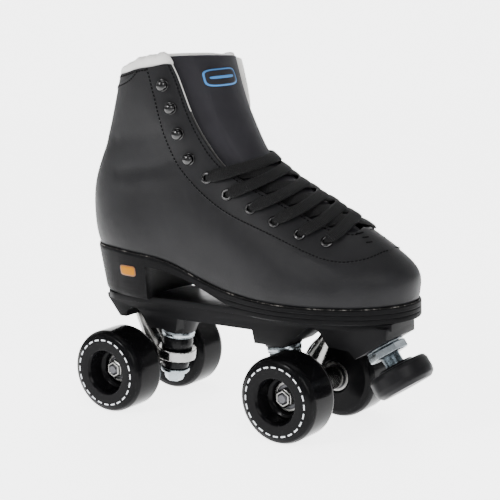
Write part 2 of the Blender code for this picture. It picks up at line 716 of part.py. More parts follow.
def make_strap(name, start, end, lifts):
    """A flat strap with square edges along the boot."""
    middle, wide, normal = strap_points(start, end, lifts)
    half = wide * LACE_WIDTH / 2
    thick = normal * LACE_THICKNESS
    rings = np.stack([middle - half, middle - half + thick, middle + half + thick, middle + half], 1)
    faces = grid_faces(LACE_STATIONS, 4, True)
    last_ring = (LACE_STATIONS - 1) * 4
    faces += [(0, 1, 2, 3), (last_ring + 3, last_ring + 2, last_ring + 1, last_ring)]
    strap = surface(name, rings.reshape(-1, 3), faces)
    shape = bmesh.new()
    shape.from_mesh(strap.data)
    bmesh.ops.recalc_face_normals(shape, faces=shape.faces)
    shape.to_mesh(strap.data)
    shape.free()
    return strap


def tucked(spot):
    """Where a strap goes under the throat's edge on its way to an eyelet."""
    return float(throat_place(spot[1])) + LACE_TUCK, spot[1]


def make_lace():
    """Bar over the toe pair and crossings that start at an eyelet and tuck under the far edge, all joined."""
    bar = EYELETS[-1]
    lace = make_strap("lace", bar, bar, (LACE_LIFT, LACE_LIFT))
    for number in reversed(range(len(EYELETS) - 1)):
        start, end = EYELETS[number], tucked(EYELETS[number + 1])
        low = LACE_LIFT - LACE_DIP
        straps = [make_strap(f"strap_{number}_over", start, end, (LACE_LIFT, low)),
                  make_strap(f"strap_{number}_back", end, start, (low, LACE_LIFT + LACE_STEP))]
        for strap in straps:
            boolean(lace, as_cutter(strap), "UNION", "MANIFOLD")
    return keep(lace, cord())


def make_fittings():
    for side, word in ((-1, "lateral"), (1, "medial")):
        for number, spot in enumerate(EYELETS):
            make_eyelet(f"eyelet_{word}_{number + 1}", eyelet_frame(*spot, side))
        for number, spot in enumerate(HOOKS):
            make_hook(f"hook_{word}_{number + 1}", eyelet_frame(*spot, side))


# ---------------------------------------------------------------- plate
def arc(centre, radius, start, end, count):
    """Points along an arc, its angles in degrees."""
    angles = np.radians(np.linspace(start, end, count))
    return [(centre[0] + radius * math.cos(a), centre[1] + radius * math.sin(a)) for a in angles]


def flange_outline():
    """Plate's flange seen from above: wide under heel and ball, narrow at the waist and the nose."""
    half = [(PLATE_TAIL, 15), (PLATE_TAIL + 6 * MM, 22), (-88 * MM, 26), (-66 * MM, 26), (-50 * MM, 23.5),
            (-20 * MM, 22), (20 * MM, 22), (48 * MM, 26), (66 * MM, 30), (100 * MM, 30), (120 * MM, 25),
            (PLATE_NOSE - 6 * MM, 17), (PLATE_NOSE, 13)]
    outer = [(x, -y * MM) for x, y in half]
    return outer + [(x, -y) for x, y in reversed(outer)]


def spine_outline():
    """Plate's side view below the flange, from tail to nose and back along the top."""
    top = PLATE_TOP - FLANGE / 2
    beam = PLATE_TOP - SPINE_DEPTH
    hump = AXLE_Z + PIVOT_HEIGHT - 4.6 * MM
    foot = AXLE_Z + HOUSING_FOOT + 3 * MM
    axle = WHEELBASE / 2
    boss = axle - KINGPIN_REACH
    rear = [(PLATE_TAIL + 1.5 * MM, top), (PLATE_TAIL + 2 * MM, top - 3 * MM),
            (-axle - PIVOT_REACH - 2 * MM, hump), (-axle - PIVOT_REACH + 4 * MM, hump)]
    rear += arc((-axle + 1.5 * MM, hump), 8 * MM, 160, 30, 6)
    rear += [(-boss - 12.5 * MM, foot), (-boss + 12.5 * MM, foot), (-boss + 14.5 * MM, beam)]
    front = [(boss - 14.5 * MM, beam), (boss - 12.5 * MM, foot), (boss + 12.5 * MM, foot)]
    front += arc((axle + 8 * MM, hump), 11 * MM, 150, 20, 7)
    front += [(axle + 22 * MM, hump - 1 * MM), (STOP_X - 17 * MM, hump - 2 * MM),
              (STOP_X - 12 * MM, hump - 7 * MM), (PLATE_NOSE - 1 * MM, hump + 9 * MM),
              (PLATE_NOSE - 1 * MM, top)]
    return rear + front


def truck_frame(front):
    """Matrix of a truck: X inboard from its axle, the origin on the axle's middle."""
    x = WHEELBASE / 2 if front else -WHEELBASE / 2
    return Matrix.Translation((x, 0, AXLE_Z)) @ Matrix.Rotation(math.pi if front else 0, 4, "Z")


def kingpin_frame():
    """Within a truck: Z up the kingpin, the origin at the foot of its housing."""
    return Matrix.Translation((KINGPIN_REACH, 0, HOUSING_FOOT)) @ Matrix.Rotation(KINGPIN_LEAN, 4, "Y")


def pivot_ends():
    """Pivot arm's root and tip within a truck."""
    return Vector((9 * MM, 0, 6 * MM)), Vector((-PIVOT_REACH, 0, PIVOT_HEIGHT))


def stop_frame():
    """Z up the toe stop's stem, the origin where it leaves the plate."""
    face = AXLE_Z + PIVOT_HEIGHT - 4.6 * MM + 0.6 * MM
    return Matrix.Translation((STOP_X, 0, face)) @ Matrix.Rotation(-STOP_LEAN, 4, "Y")


def placed(obj, frame):
    """Moves an unparented object by a frame."""
    obj.matrix_world = frame @ obj.matrix_world
    return obj


def make_plate():
    plate = extruded("plate", flange_outline(), FLANGE / 2)
    plate.location.z = PLATE_TOP - FLANGE / 2
    spine = extruded("spine", spine_outline(), SPINE_WIDTH / 2, upright=True)
    boolean(plate, as_cutter(spine), "UNION")
    nose = rod("stop_housing", (0, 0, HOUSING_LENGTH), (0, 0, 0), HOUSING_TOP_RADIUS, HOUSING_FOOT_RADIUS, 20)
    boolean(plate, as_cutter(placed(nose, stop_frame())), "UNION")
    low = Vector((0, 0, 0))
    for front, word in ((False, "rear"), (True, "front")):
        frame = truck_frame(front)
        boss = rod(f"boss_{word}", low, (0, 0, BOSS_HEIGHT), BOSS_RADIUS, BOSS_RADIUS * BOSS_FLARE, 20)
        boolean(plate, as_cutter(placed(boss, frame @ kingpin_frame())), "UNION")
    for front, word in ((False, "rear"), (True, "front")):
        frame = truck_frame(front)
        bore = KINGPIN_RADIUS + GAP
        pin = rod(f"kingpin_drill_{word}", (0, 0, -DRILL_START), (0, 0, KINGPIN_DEPTH + GAP), bore, bore,
                  SMALL_STEPS)
        boolean(plate, as_cutter(placed(pin, frame @ kingpin_frame())), "DIFFERENCE")
        root, tip = pivot_ends()
        along = (tip - root).normalized()
        bore = PIVOT_RADIUS + PIVOT_CLEARANCE
        socket = rod(f"pivot_drill_{word}", tip - along * PIVOT_SOCKET, tip + along * PIVOT_CLEARANCE,
                     bore + PIVOT_FLARE, bore, SMALL_STEPS)
        boolean(plate, as_cutter(placed(socket, frame)), "DIFFERENCE")
    bore = STOP_STEM_RADIUS + GAP
    stem = rod("stop_drill", (0, 0, -2 * DRILL_START), (0, 0, STOP_STEM_DEPTH + GAP), bore, bore, SMALL_STEPS)
    boolean(plate, as_cutter(placed(stem, stop_frame())), "DIFFERENCE")
    return keep(plate, nylon())


# ---------------------------------------------------------------- trucks
def make_hanger(word, parent):
    """Axle barrel, kingpin ring, the web between them and the pivot arm, cast in one."""
    half = WHEEL_INNER - GAP
    hanger = rod(f"hanger_{word}", (0, -half, 0), (0, half, 0), BARREL_RADIUS, BARREL_RADIUS, 20)
    ring_frame = kingpin_frame() @ Matrix.Translation((0, 0, -RING_AT))
    ring = rod(f"ring_{word}", (0, 0, 0), (0, 0, -RING_HEIGHT), RING_RADIUS, RING_RADIUS, 24)
    placed(ring, ring_frame)
    ring_middle = ring_frame @ Vector((0, 0, -RING_HEIGHT / 2))
    web = rod(f"web_{word}", (0, 0, ring_middle.z * WEB_START), ring_middle, BARREL_RADIUS * WEB_FLARE,
              RING_HEIGHT * WEB_HEIGHT, 12)
    root, tip = pivot_ends()
    arm = rod(f"arm_{word}", root, tip, ARM_RADIUS, PIVOT_RADIUS, 12)
    bar_end = half * RIB_SPREAD
    ribs = [rod(f"rib_{side}_{word}", (RIB_INBOARD, side * bar_end, 0), (RIB_INBOARD + 1 * MM, 0, RIB_TOP),
                RIB_FOOT_RADIUS, RIB_TOP_RADIUS, 10) for side in (-1, 1)]
    for tool in [ring, web, arm] + ribs:
        boolean(hanger, as_cutter(placed(tool, parent.matrix_world)), "UNION")
    bore = AXLE_RADIUS + GAP
    axle_drill = rod(f"axle_drill_{word}", (0, -TRACK, 0), (0, TRACK, 0), bore, bore, SMALL_STEPS)
    drills = [axle_drill]
    bore = KINGPIN_RADIUS + 3 * GAP
    ring_drill = rod(f"ring_drill_{word}", (0, 0, RING_HEIGHT), (0, 0, -2 * RING_HEIGHT), bore, bore,
                     SMALL_STEPS)
    drills.append(placed(ring_drill, ring_frame))
    bore = CUSHION_UPPER_RADIUS + 3 * GAP
    for name, low, high in (("over", 0, 2 * RING_HEIGHT), ("under", -4 * RING_HEIGHT, -RING_HEIGHT)):
        relief = rod(f"relief_{name}_{word}", (0, 0, low), (0, 0, high), bore, bore, 20)
        drills.append(placed(relief, ring_frame))
    for tool in drills:
        boolean(hanger, as_cutter(placed(tool, parent.matrix_world)), "DIFFERENCE")
    return keep(hanger, cast_metal(), parent)


def make_kingpin(word, parent):
    """Kingpin with its cup, two cushions and washer, stacked down from the housing."""
    stack = [("kingpin_cup", CUP_RADIUS, CUP_AT, CUP_HEIGHT, 0, zinc),
             ("cushion_upper", CUSHION_UPPER_RADIUS, CUSHION_UPPER_AT, CUSHION_UPPER_HEIGHT, CUSHION_BEVEL,
              cushion_rubber),
             ("cushion_lower", CUSHION_LOWER_RADIUS, CUSHION_LOWER_AT, CUSHION_LOWER_HEIGHT, CUSHION_BEVEL,
              cushion_rubber),
             ("kingpin_washer", WASHER_RADIUS, WASHER_AT, WASHER_HEIGHT, 0, zinc)]
    for name, radius, at, height, bevel, finish in stack:
        ring = ring_profile(KINGPIN_RADIUS + GAP, radius, -at, height, bevel)
        piece = turned(f"{name}_{word}", ring, SMALL_STEPS)
        piece.matrix_local = kingpin_frame()
        keep(piece, finish(), parent)
    head = KINGPIN_HEAD_FLATS / 2
    foot = -HEAD_AT - KINGPIN_HEAD_HEIGHT
    profile = [(0, KINGPIN_DEPTH), (KINGPIN_RADIUS, KINGPIN_DEPTH), (KINGPIN_RADIUS, -HEAD_AT),
               (head, -HEAD_AT), (head, foot + HEAD_BEVEL), (head * 0.66, foot), (0, foot)]
    pin = turned(f"kingpin_{word}", profile, 12)
    pin.matrix_local = kingpin_frame()
    keep(pin, zinc(), parent)


def wheel_profile():
    """Loop of a wheel about its axle from its inner face: heights are distances from the skate's middle."""
    seat = BEARING_RADIUS + GAP
    spacer = BEARING_RADIUS - 2 * MM
    inner_end = BEARING_INNER_AT + BEARING_WIDTH + GAP
    outer_start = BEARING_OUTER_AT - GAP
    corner = TREAD_ROUND
    cut = corner * 0.3
    outer, inner = WHEEL_OUTER, WHEEL_INNER
    return [(RECESS_RADIUS, outer - RECESS_LIP / 3), (RECESS_RADIUS + RECESS_LIP, outer),
            (WHEEL_RADIUS - corner, outer), (WHEEL_RADIUS - cut, outer - cut), (WHEEL_RADIUS, outer - corner),
            (WHEEL_RADIUS, inner + corner), (WHEEL_RADIUS - cut, inner + cut), (WHEEL_RADIUS - corner, inner),
            (seat, inner), (seat, inner_end), (spacer, inner_end), (spacer, outer_start), (seat, outer_start),
            (seat, BEARING_OUTER_AT + BEARING_WIDTH + SEAT_MARGIN)]


def make_wheel(word, side, parent):
    """Wheel with two bearings on its own pivot, its nut on the truck."""
    turn = Matrix.Rotation(-side * math.pi / 2, 4, "X")
    wheel = turned(f"wheel_{word}", wheel_profile(), WHEEL_STEPS)
    wheel.matrix_local = turn
    keep(wheel, urethane(), parent)
    for name, at in (("inner", BEARING_INNER_AT), ("outer", BEARING_OUTER_AT)):
        ring = ring_profile(AXLE_RADIUS + GAP, BEARING_RADIUS, at + BEARING_WIDTH, BEARING_WIDTH)
        bearing = turned(f"bearing_{name}_{word}", ring, SMALL_STEPS)
        bearing.matrix_local = turn
        keep(bearing, steel(), parent)
    nut = hexagon(f"axle_nut_{word}", AXLE_NUT_FLATS, AXLE_NUT_HEIGHT)
    drill = rod(f"nut_drill_{word}", (0, 0, -AXLE_NUT_HEIGHT), (0, 0, 2 * AXLE_NUT_HEIGHT),
                AXLE_RADIUS + GAP, AXLE_RADIUS + GAP, SMALL_STEPS)
    frame = turn @ Matrix.Translation((0, 0, AXLE_NUT_AT))
    nut.matrix_local = frame
    boolean(nut, as_cutter(placed(drill, parent.matrix_world @ frame)), "DIFFERENCE")
    keep(nut, zinc(), parent)


def make_truck(front):
    word = "front" if front else "rear"
    pivot = bpy.data.objects.new(f"truck_{word}", None)
    SKATE.objects.link(pivot)
    pivot.matrix_world = truck_frame(front)
    make_hanger(word, pivot)
    make_kingpin(word, pivot)
    reach = AXLE_NUT_AT + AXLE_NUT_HEIGHT + AXLE_END
    axle = rod(f"axle_{word}", (0, -reach, 0), (0, reach, 0), AXLE_RADIUS, AXLE_RADIUS, SMALL_STEPS)
    keep(axle, zinc(), pivot)
    for side in (-1, 1):
        lateral = (side < 0) != front
        make_wheel(f"{word}_{'lateral' if lateral else 'medial'}", side, pivot)


# ---------------------------------------------------------------- toe stop
def make_toe_stop():
    frame = stop_frame()
    top = -STOP_STEM_LENGTH
    foot = top - STOP_THICKNESS
    socket = STOP_STEM_RADIUS + GAP
    cut = STOP_ROUND * 0.3
    profile = [(0, top - STOP_SOCKET), (socket, top - STOP_SOCKET), (socket, top + STOP_BOSS),
               (STOP_RADIUS * 0.55, top + STOP_BOSS), (STOP_RADIUS * 0.62, top),
               (STOP_RADIUS - STOP_ROUND, top), (STOP_RADIUS - cut, top - cut),
               (STOP_RADIUS, top - STOP_ROUND), (STOP_RADIUS, foot + STOP_ROUND),
               (STOP_RADIUS - cut, foot + cut), (STOP_RADIUS - STOP_ROUND, foot), (0, foot)]
    stop = turned("toe_stop", profile, WHEEL_STEPS)
    stop.matrix_world = frame
    keep(stop, stop_rubber())
    stem = rod("toe_stop_stem", (0, 0, STOP_STEM_DEPTH), (0, 0, top - STOP_SOCKET + GAP), STOP_STEM_RADIUS,
               STOP_STEM_RADIUS, SMALL_STEPS)
    keep(placed(stem, frame), zinc())
    washer = turned("toe_stop_washer", ring_profile(socket, STOP_NUT_FLATS * 0.56, -GAP, STOP_WASHER), 24)
    washer.matrix_world = frame
    keep(washer, zinc())
    nut_frame = frame @ Matrix.Translation((0, 0, -2 * GAP - STOP_WASHER - STOP_NUT_HEIGHT))
    nut = hexagon("toe_stop_nut", STOP_NUT_FLATS, STOP_NUT_HEIGHT)
    nut.matrix_world = nut_frame
    drill = rod("stop_nut_drill", (0, 0, -STOP_NUT_HEIGHT), (0, 0, 2 * STOP_NUT_HEIGHT), socket, socket,
                SMALL_STEPS)
    boolean(nut, as_cutter(placed(drill, nut_frame)), "DIFFERENCE")
    keep(nut, zinc())


# ---------------------------------------------------------------- finishing
def settle():
    """Moves the whole skate along X and Y until the origin lies below its middle."""
    bpy.context.view_layer.update()
    graph = bpy.context.evaluated_depsgraph_get()
    corners = []
    for obj in SKATE.objects:
        if obj.type == "MESH":
            evaluated = obj.evaluated_get(graph)
            mesh = evaluated.to_mesh()
            places = np.array([obj.matrix_world @ vertex.co for vertex in mesh.vertices])
            corners += [places.min(0), places.max(0)]
            evaluated.to_mesh_clear()
    low, high = np.min(corners, 0), np.max(corners, 0)
    shift = Vector((-(low[0] + high[0]) / 2, -(low[1] + high[1]) / 2, -low[2]))
    for obj in list(SKATE.objects) + list(CUTTERS.objects):
        if obj.parent is None:
            obj.location += shift


def main():
    for obj in list(bpy.data.objects):
        bpy.data.objects.remove(obj)
    bpy.context.scene.collection.children.link(SKATE)
    bpy.context.scene.collection.children.link(CUTTERS)
    make_upper()
    make_tongue()
    make_sole()
    make_insole()
    make_fittings()
    make_lace()
    make_plate()
    for front in (False, True):
        make_truck(front)
    make_toe_stop()
    settle()


main()
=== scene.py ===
"""Looks of the quad roller skate: leather boot, moulded sole, nylon plate, cast trucks, wheels and toe stop.

Lengths in the tables are millimetres. The boot's surface is a function of a place round it, from 0 at the
back to 1 at the toe, and a height over the heel seat, for each side: -1 the outer side, 1 the inner side.
"""
import math

import bmesh
import bpy
import numpy as np
from mathutils import Matrix, Vector


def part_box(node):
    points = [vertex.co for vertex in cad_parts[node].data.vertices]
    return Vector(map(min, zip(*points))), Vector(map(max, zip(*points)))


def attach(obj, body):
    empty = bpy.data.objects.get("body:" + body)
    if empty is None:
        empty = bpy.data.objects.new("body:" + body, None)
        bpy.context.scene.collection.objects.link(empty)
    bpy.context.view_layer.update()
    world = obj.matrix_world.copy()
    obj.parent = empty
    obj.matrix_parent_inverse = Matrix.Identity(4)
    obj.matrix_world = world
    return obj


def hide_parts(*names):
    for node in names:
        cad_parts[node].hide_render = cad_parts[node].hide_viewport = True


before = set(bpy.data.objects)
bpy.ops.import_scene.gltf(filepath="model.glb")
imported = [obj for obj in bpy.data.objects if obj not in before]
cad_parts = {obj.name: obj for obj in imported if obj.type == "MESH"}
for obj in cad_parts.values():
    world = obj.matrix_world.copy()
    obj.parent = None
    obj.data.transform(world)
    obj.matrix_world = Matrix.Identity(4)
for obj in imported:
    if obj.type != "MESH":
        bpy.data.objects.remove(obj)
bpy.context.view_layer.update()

MM = 0.001
SIDES = {-1: "lateral", 1: "medial"}
EDGE_ROUNDING = 0.7


# ---------------------------------------------------------------- where the frame is
def middle(node):
    """Middle of a CAD node's box."""
    low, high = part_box(node)
    return (low + high) / 2


REAR_AXLE = middle("axle_rear")
FRONT_AXLE = middle("axle_front")
MID_X = (REAR_AXLE.x + FRONT_AXLE.x) / 2
AXLE_Z = REAR_AXLE.z
INSOLE = 3.0 * MM
SEAT_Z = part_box("insole")[1].z - INSOLE
SOLE_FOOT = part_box("sole_unit")[0].z

# ---------------------------------------------------------------- camera and light
VIEW_AZIMUTH, VIEW_ELEVATION, VIEW_ROLL = 36.5, 10.965, -1.845
VIEW_DISTANCE = 1.1354
VIEW_TARGET = Vector((MID_X + 20.8 * MM, 0, 123.1 * MM))
LENS, SENSOR = 113.1, 36
FLOOR_GLOW = 3.8
AIR_GLOW = 0.16
# name, place, aim, size (metres) and power (watts)
LAMPS = [("key", (-0.9, -1.5, 1.5), (0, 0, 0.12), 1.0, 6),
         ("fill", (1.5, -1.1, 1.2), (0, 0, 0.12), 1.0, 26),
         ("top", (0.1, 0.2, 1.9), (0, 0, 0.1), 1.2, 12),
         ("spark", (-0.35, -1.5, 1.0), (0, 0, 0.16), 0.3, 14),
         ("rim", (0.6, 1.7, 1.1), (0, 0, 0.15), 1.0, 3)]


def camera_back():
    """Unit vector from the skate towards the camera."""
    a, e = math.radians(VIEW_AZIMUTH), math.radians(VIEW_ELEVATION)
    return Vector((math.sin(a) * math.cos(e), -math.cos(a) * math.cos(e), math.sin(e)))


def make_camera():
    """Camera at a distance from its target, rolled a little about its line of sight."""
    a, r = math.radians(VIEW_AZIMUTH), math.radians(VIEW_ROLL)
    back = camera_back()
    level = Vector((math.cos(a), math.sin(a), 0))
    up = back.cross(level)
    right = level * math.cos(r) + up * math.sin(r)
    up = up * math.cos(r) - level * math.sin(r)
    camera = bpy.data.objects.new("camera", bpy.data.cameras.new("camera"))
    camera.data.lens = LENS
    camera.data.sensor_width = SENSOR
    camera.data.clip_end = 50
    place = VIEW_TARGET + back * VIEW_DISTANCE
    camera.matrix_world = Matrix((right, up, back)).transposed().to_4x4()
    camera.location = place
    bpy.context.scene.collection.objects.link(camera)
    bpy.context.scene.camera = camera


def softbox(name, place, aim, size, power):
    """Square area light at a place, facing an aim."""
    light = bpy.data.lights.new(name, "AREA")
    light.shape = "SQUARE"
    light.size = size
    light.energy = power
    lamp = bpy.data.objects.new(name, light)
    lamp.location = place
    lamp.rotation_euler = (Vector(aim) - Vector(place)).to_track_quat("-Z", "Y").to_euler()
    bpy.context.scene.collection.objects.link(lamp)


def glowing_floor():
    """Pale floor that glows behind the skate, as a lit studio cove does, and fades to the sides and front."""
    material, tree, shader = plain("pale_floor", (0.9, 0.9, 0.9), 0.9)
    a = math.radians(VIEW_AZIMUTH)
    glow = FLOOR_GLOW
    for along, start, end, mirrored in ((camera_back(), 0.26, 0.48, False),
                                        (Vector((math.cos(a), math.sin(a), 0)), 0.75, 1.5, True)):
        dot = tree.nodes.new("ShaderNodeVectorMath")
        dot.operation = "DOT_PRODUCT"
        tree.links.new(coordinates(tree), dot.inputs[0])
        dot.inputs[1].default_value = along
        reach = dot.outputs["Value"]
        if mirrored:
            reach = blend_math(tree, "ABSOLUTE", reach, 0)
        fade = tree.nodes.new("ShaderNodeMapRange")
        fade.interpolation_type = "SMOOTHSTEP"
        for socket, value in (("From Min", start), ("From Max", end), ("To Min", 1.0), ("To Max", 0.0)):
            fade.inputs[socket].default_value = value
        tree.links.new(reach, fade.inputs["Value"])
        glow = blend_math(tree, "MULTIPLY", fade.outputs["Result"], glow)
    shader.inputs["Emission Color"].default_value = (1, 1, 1, 1)
    tree.links.new(glow, shader.inputs["Emission Strength"])
    return material


def make_studio():
    """Floor that curves up into a wall all round, dim air and the soft boxes."""
    world = bpy.data.worlds.new("studio")
    world.use_nodes = True
    world.node_tree.nodes["Background"].inputs["Color"].default_value = (1, 1, 1, 1)
    world.node_tree.nodes["Background"].inputs["Strength"].default_value = AIR_GLOW
    bpy.context.scene.world = world
    radius = np.array([0, 1.5, 2.5, 3.2, 3.7, 4.0, 4.0])
    height = np.array([0, 0, 0, 0.15, 0.55, 1.3, 4.0])
    turn = around(64)
    points = np.stack([radius[:, None] * np.cos(turn), radius[:, None] * np.sin(turn),
                       height[:, None] + 0 * turn], -1)
    floor = grid_object("floor", points, True)
    floor.data.materials.append(glowing_floor())
    for lamp in LAMPS:
        softbox(*lamp)


# ---------------------------------------------------------------- arrays
def unit(vectors):
    """Vectors over their lengths."""
    return vectors / np.linalg.norm(vectors, axis=-1)[..., None]


def around(count):
    """Evenly spaced angles of a full turn."""
    return np.linspace(0, 2 * np.pi, count + 1)[:-1]


def ease(share):
    """Share from 0 to 1 with level ends: s^2 (3 - 2 s)."""
    return share * share * (3 - 2 * share)


def powered(turn, across, up):
    """Superellipse: each of cos and sin raised to a power, with its sign kept."""
    return (np.sign(np.cos(turn)) * np.abs(np.cos(turn)) ** across,
            np.sign(np.sin(turn)) * np.abs(np.sin(turn)) ** up)


def run_of(points):
    """Length of a path up to each of its points."""
    return np.concatenate([[0], np.cumsum(np.linalg.norm(np.diff(points, axis=0), axis=1))])


def read(at, run, columns):
    """Columns of values given along a run, read at other places on it."""
    return np.stack([np.interp(at, run, column) for column in columns.T], -1)


def numbered(track):
    """Knots with their number put first, for a curve through them in order."""
    return [(i, *knot) for i, knot in enumerate(track)]


# ---------------------------------------------------------------- meshes
def mesh_object(name, points, faces):
    """Smooth-shaded object of points and faces."""
    mesh = bpy.data.meshes.new(name)
    mesh.from_pydata(np.asarray(points).reshape(-1, 3).tolist(), [], [list(f) for f in faces])
    mesh.update()
    made = bpy.data.objects.new(name, mesh)
    bpy.context.scene.collection.objects.link(made)
    mesh.shade_smooth()
    return made


def grid_quads(rows, columns, closed):
    """Corner numbers of a grid's faces; closed joins its last column to its first."""
    across = columns if closed else columns - 1
    i, j = np.meshgrid(np.arange(rows - 1), np.arange(across), indexing="ij")
    k = (j + 1) % columns
    here, above = i * columns, (i + 1) * columns
    return np.stack([here + j, here + k, above + k, above + j], -1).reshape(-1, 4)


def grid_object(name, points, closed, keep=None):
    """Object of a grid of points (rows, columns, 3), without the faces that keep leaves out."""
    rows, columns = points.shape[:2]
    faces = grid_quads(rows, columns, closed)
    if keep is not None:
        faces = faces[keep(points.reshape(-1, 3)[faces])]
    return mesh_object(name, points, faces.tolist())


def add_uv(made, points_uv):
    """UV map from one (u, v) pair for each vertex."""
    corner = np.zeros(len(made.data.loops), np.int32)
    made.data.loops.foreach_get("vertex_index", corner)
    layer = made.data.uv_layers.new(name="run")
    layer.data.foreach_set("uv", np.asarray(points_uv, np.float32).reshape(-1, 2)[corner].ravel())


def weld(made, distance=1e-6, recalculate=True):
    """Merges doubled vertices and turns the faces outwards."""
    shape = bmesh.new()
    shape.from_mesh(made.data)
    bmesh.ops.remove_doubles(shape, verts=shape.verts, dist=distance)
    bmesh.ops.dissolve_degenerate(shape, dist=distance, edges=shape.edges)
    loose = [v for v in shape.verts if not v.link_faces]
    bmesh.ops.delete(shape, geom=loose, context="VERTS")
    if recalculate:
        bmesh.ops.recalc_face_normals(shape, faces=shape.faces)
    shape.to_mesh(made.data)
    shape.free()
    return made


def face_outwards(made, fill=False):
    """Turns the faces outwards, after closing the open ends where fill is set."""
    shape = bmesh.new()
    shape.from_mesh(made.data)
    if fill:
        bmesh.ops.holes_fill(shape, edges=[edge for edge in shape.edges if edge.is_boundary])
    bmesh.ops.recalc_face_normals(shape, faces=shape.faces)
    shape.to_mesh(made.data)
    shape.free()
    return made


def sharp(made, degrees=35):
    """Smooth shading that breaks at edges over an angle."""
    made.data.shade_smooth()
    made.data.set_sharp_from_angle(angle=math.radians(degrees))
    return made


def apply_modifiers(made):
    """Takes the evaluated mesh as the object's own."""
    bpy.context.view_layer.update()
    graph = bpy.context.evaluated_depsgraph_get()
    mesh = bpy.data.meshes.new_from_object(made.evaluated_get(graph))
    made.modifiers.clear()
    made.data = mesh
    return made


def thicken(made, thickness, offset=-1.0):
    """Wall of a thickness in metres on a sheet, inwards unless the offset says otherwise."""
    wall = made.modifiers.new("wall", "SOLIDIFY")
    wall.thickness = thickness
    wall.offset = offset
    return apply_modifiers(made)


def round_edges(made, degrees):
    """Bevels the edges over an angle."""
    edge = made.modifiers.new("edge", "BEVEL")
    edge.width = EDGE_ROUNDING * MM
    edge.segments = 2
    edge.limit_method = "ANGLE"
    edge.angle_limit = math.radians(degrees)
    return apply_modifiers(made)


def merged_copy(node, name):
    """Own copy of a CAD node's mesh with its triangles joined."""
    made = bpy.data.objects.new(name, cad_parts[node].data.copy())
    made.data.materials.clear()
    bpy.context.scene.collection.objects.link(made)
    return weld(made, 1e-5, recalculate=False)


def fillet(corners, steps=4):
    """Outline (radius, height) with each corner (radius, height, rounding) rounded by an arc of that size.

    The arc starts and ends where it touches the two sides, found from half the angle between them.
    """
    out = []
    points = np.array([c[:2] for c in corners], float)
    for i, corner in enumerate(corners):
        size = corner[2] if len(corner) > 2 else 0
        if size <= 0 or i in (0, len(corners) - 1):
            out.append(points[i])
            continue
        before = points[i - 1] - points[i]
        after = points[i + 1] - points[i]
        a, b = before / np.linalg.norm(before), after / np.linalg.norm(after)
        half = math.acos(np.clip(a @ b, -1, 1)) / 2
        reach = min(size / math.tan(half), np.linalg.norm(before) * 0.48, np.linalg.norm(after) * 0.48)
        centre = points[i] + (a + b) / np.linalg.norm(a + b) * reach / math.cos(half)
        start, end = points[i] + a * reach - centre, points[i] + b * reach - centre
        turn = math.atan2(start[0] * end[1] - start[1] * end[0], start @ end)
        for s in np.linspace(0, turn, steps + 1):
            out.append(centre + [start[0] * math.cos(s) - start[1] * math.sin(s),
                                 start[0] * math.sin(s) + start[1] * math.cos(s)])
    return np.array(out)


def lathe(name, corners, place, steps=64, shape=None):
    """Turned piece about a frame's Z axis; shape(angle) scales the radius, as for a hexagon."""
    profile = fillet(corners)
    turn = around(steps)
    scale = np.ones(steps) if shape is None else shape(turn)
    radius = profile[:, :1] * scale
    points = np.stack([radius * np.cos(turn), radius * np.sin(turn), profile[:, 1:] + 0 * turn], -1) * MM
    made = grid_object(name, points, True)
    made.data.transform(place)
    return sharp(weld(made), 30)


def sleeve(bore, outer):
    """Closed outline of a ring: its outer corners, with a straight bore."""
    top, foot = outer[0][1], outer[-1][1]
    return [(bore, top), *outer, (bore, foot), (bore, top)]


def hexagon(turn):
    """Radius of a hexagon over its inner circle's."""
    return 1 / np.cos((turn + np.pi / 6) % (np.pi / 3) - np.pi / 6)


def finish(made, body, slot, material, *nodes, pad=None):
    """Material, body and the CAD nodes that a piece stands for; the slot is not used."""
    made.data.materials.clear()
    made.data.materials.append(material)
    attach(made, body)
    if nodes:
        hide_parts(*nodes)
    return made


def joined(name, pieces):
    """Several meshes as one object."""
    shape = bmesh.new()
    for piece in pieces:
        shape.from_mesh(piece.data)
        bpy.data.objects.remove(piece)
    mesh = bpy.data.meshes.new(name)
    shape.to_mesh(mesh)
    shape.free()
    made = bpy.data.objects.new(name, mesh)
    bpy.context.scene.collection.objects.link(made)
    return made


# ---------------------------------------------------------------- materials
def plain(name, colour, roughness, **sockets):
    """Principled material with constant sockets: returns the material, its tree and its shader."""
    material = bpy.data.materials.new(name)
    material.use_nodes = True
    tree = material.node_tree
    shader = tree.nodes["Principled BSDF"]
    shader.inputs["Base Color"].default_value = (*colour, 1)
    shader.inputs["Roughness"].default_value = roughness
    for socket, value in sockets.items():
        shader.inputs[socket.replace("_", " ")].default_value = value
    return material, tree, shader


def coordinates(tree, stretch=(1, 1, 1), uv=False):
    """Object or UV coordinates through a Mapping node that stretches them."""
    source = tree.nodes.new("ShaderNodeTexCoord")
    mapping = tree.nodes.new("ShaderNodeMapping")
    mapping.inputs["Scale"].default_value = stretch
    tree.links.new(source.outputs["UV" if uv else "Object"], mapping.inputs["Vector"])
    return mapping.outputs["Vector"]


def noise(tree, vector, scale, detail=3.0, roughness=0.55):
    """Cloudy noise from 0 to 1."""
    node = tree.nodes.new("ShaderNodeTexNoise")
    node.inputs["Scale"].default_value = scale
    node.inputs["Detail"].default_value = detail
    node.inputs["Roughness"].default_value = roughness
    tree.links.new(vector, node.inputs["Vector"])
    return node.outputs["Fac"]


def cells(tree, vector, scale):
    """Distance to the nearest of scattered points, with soft edges between their cells."""
    node = tree.nodes.new("ShaderNodeTexVoronoi")
    node.feature = "SMOOTH_F1"
    node.inputs["Scale"].default_value = scale
    node.inputs["Smoothness"].default_value = 0.35
    tree.links.new(vector, node.inputs["Vector"])
    return node.outputs["Distance"]


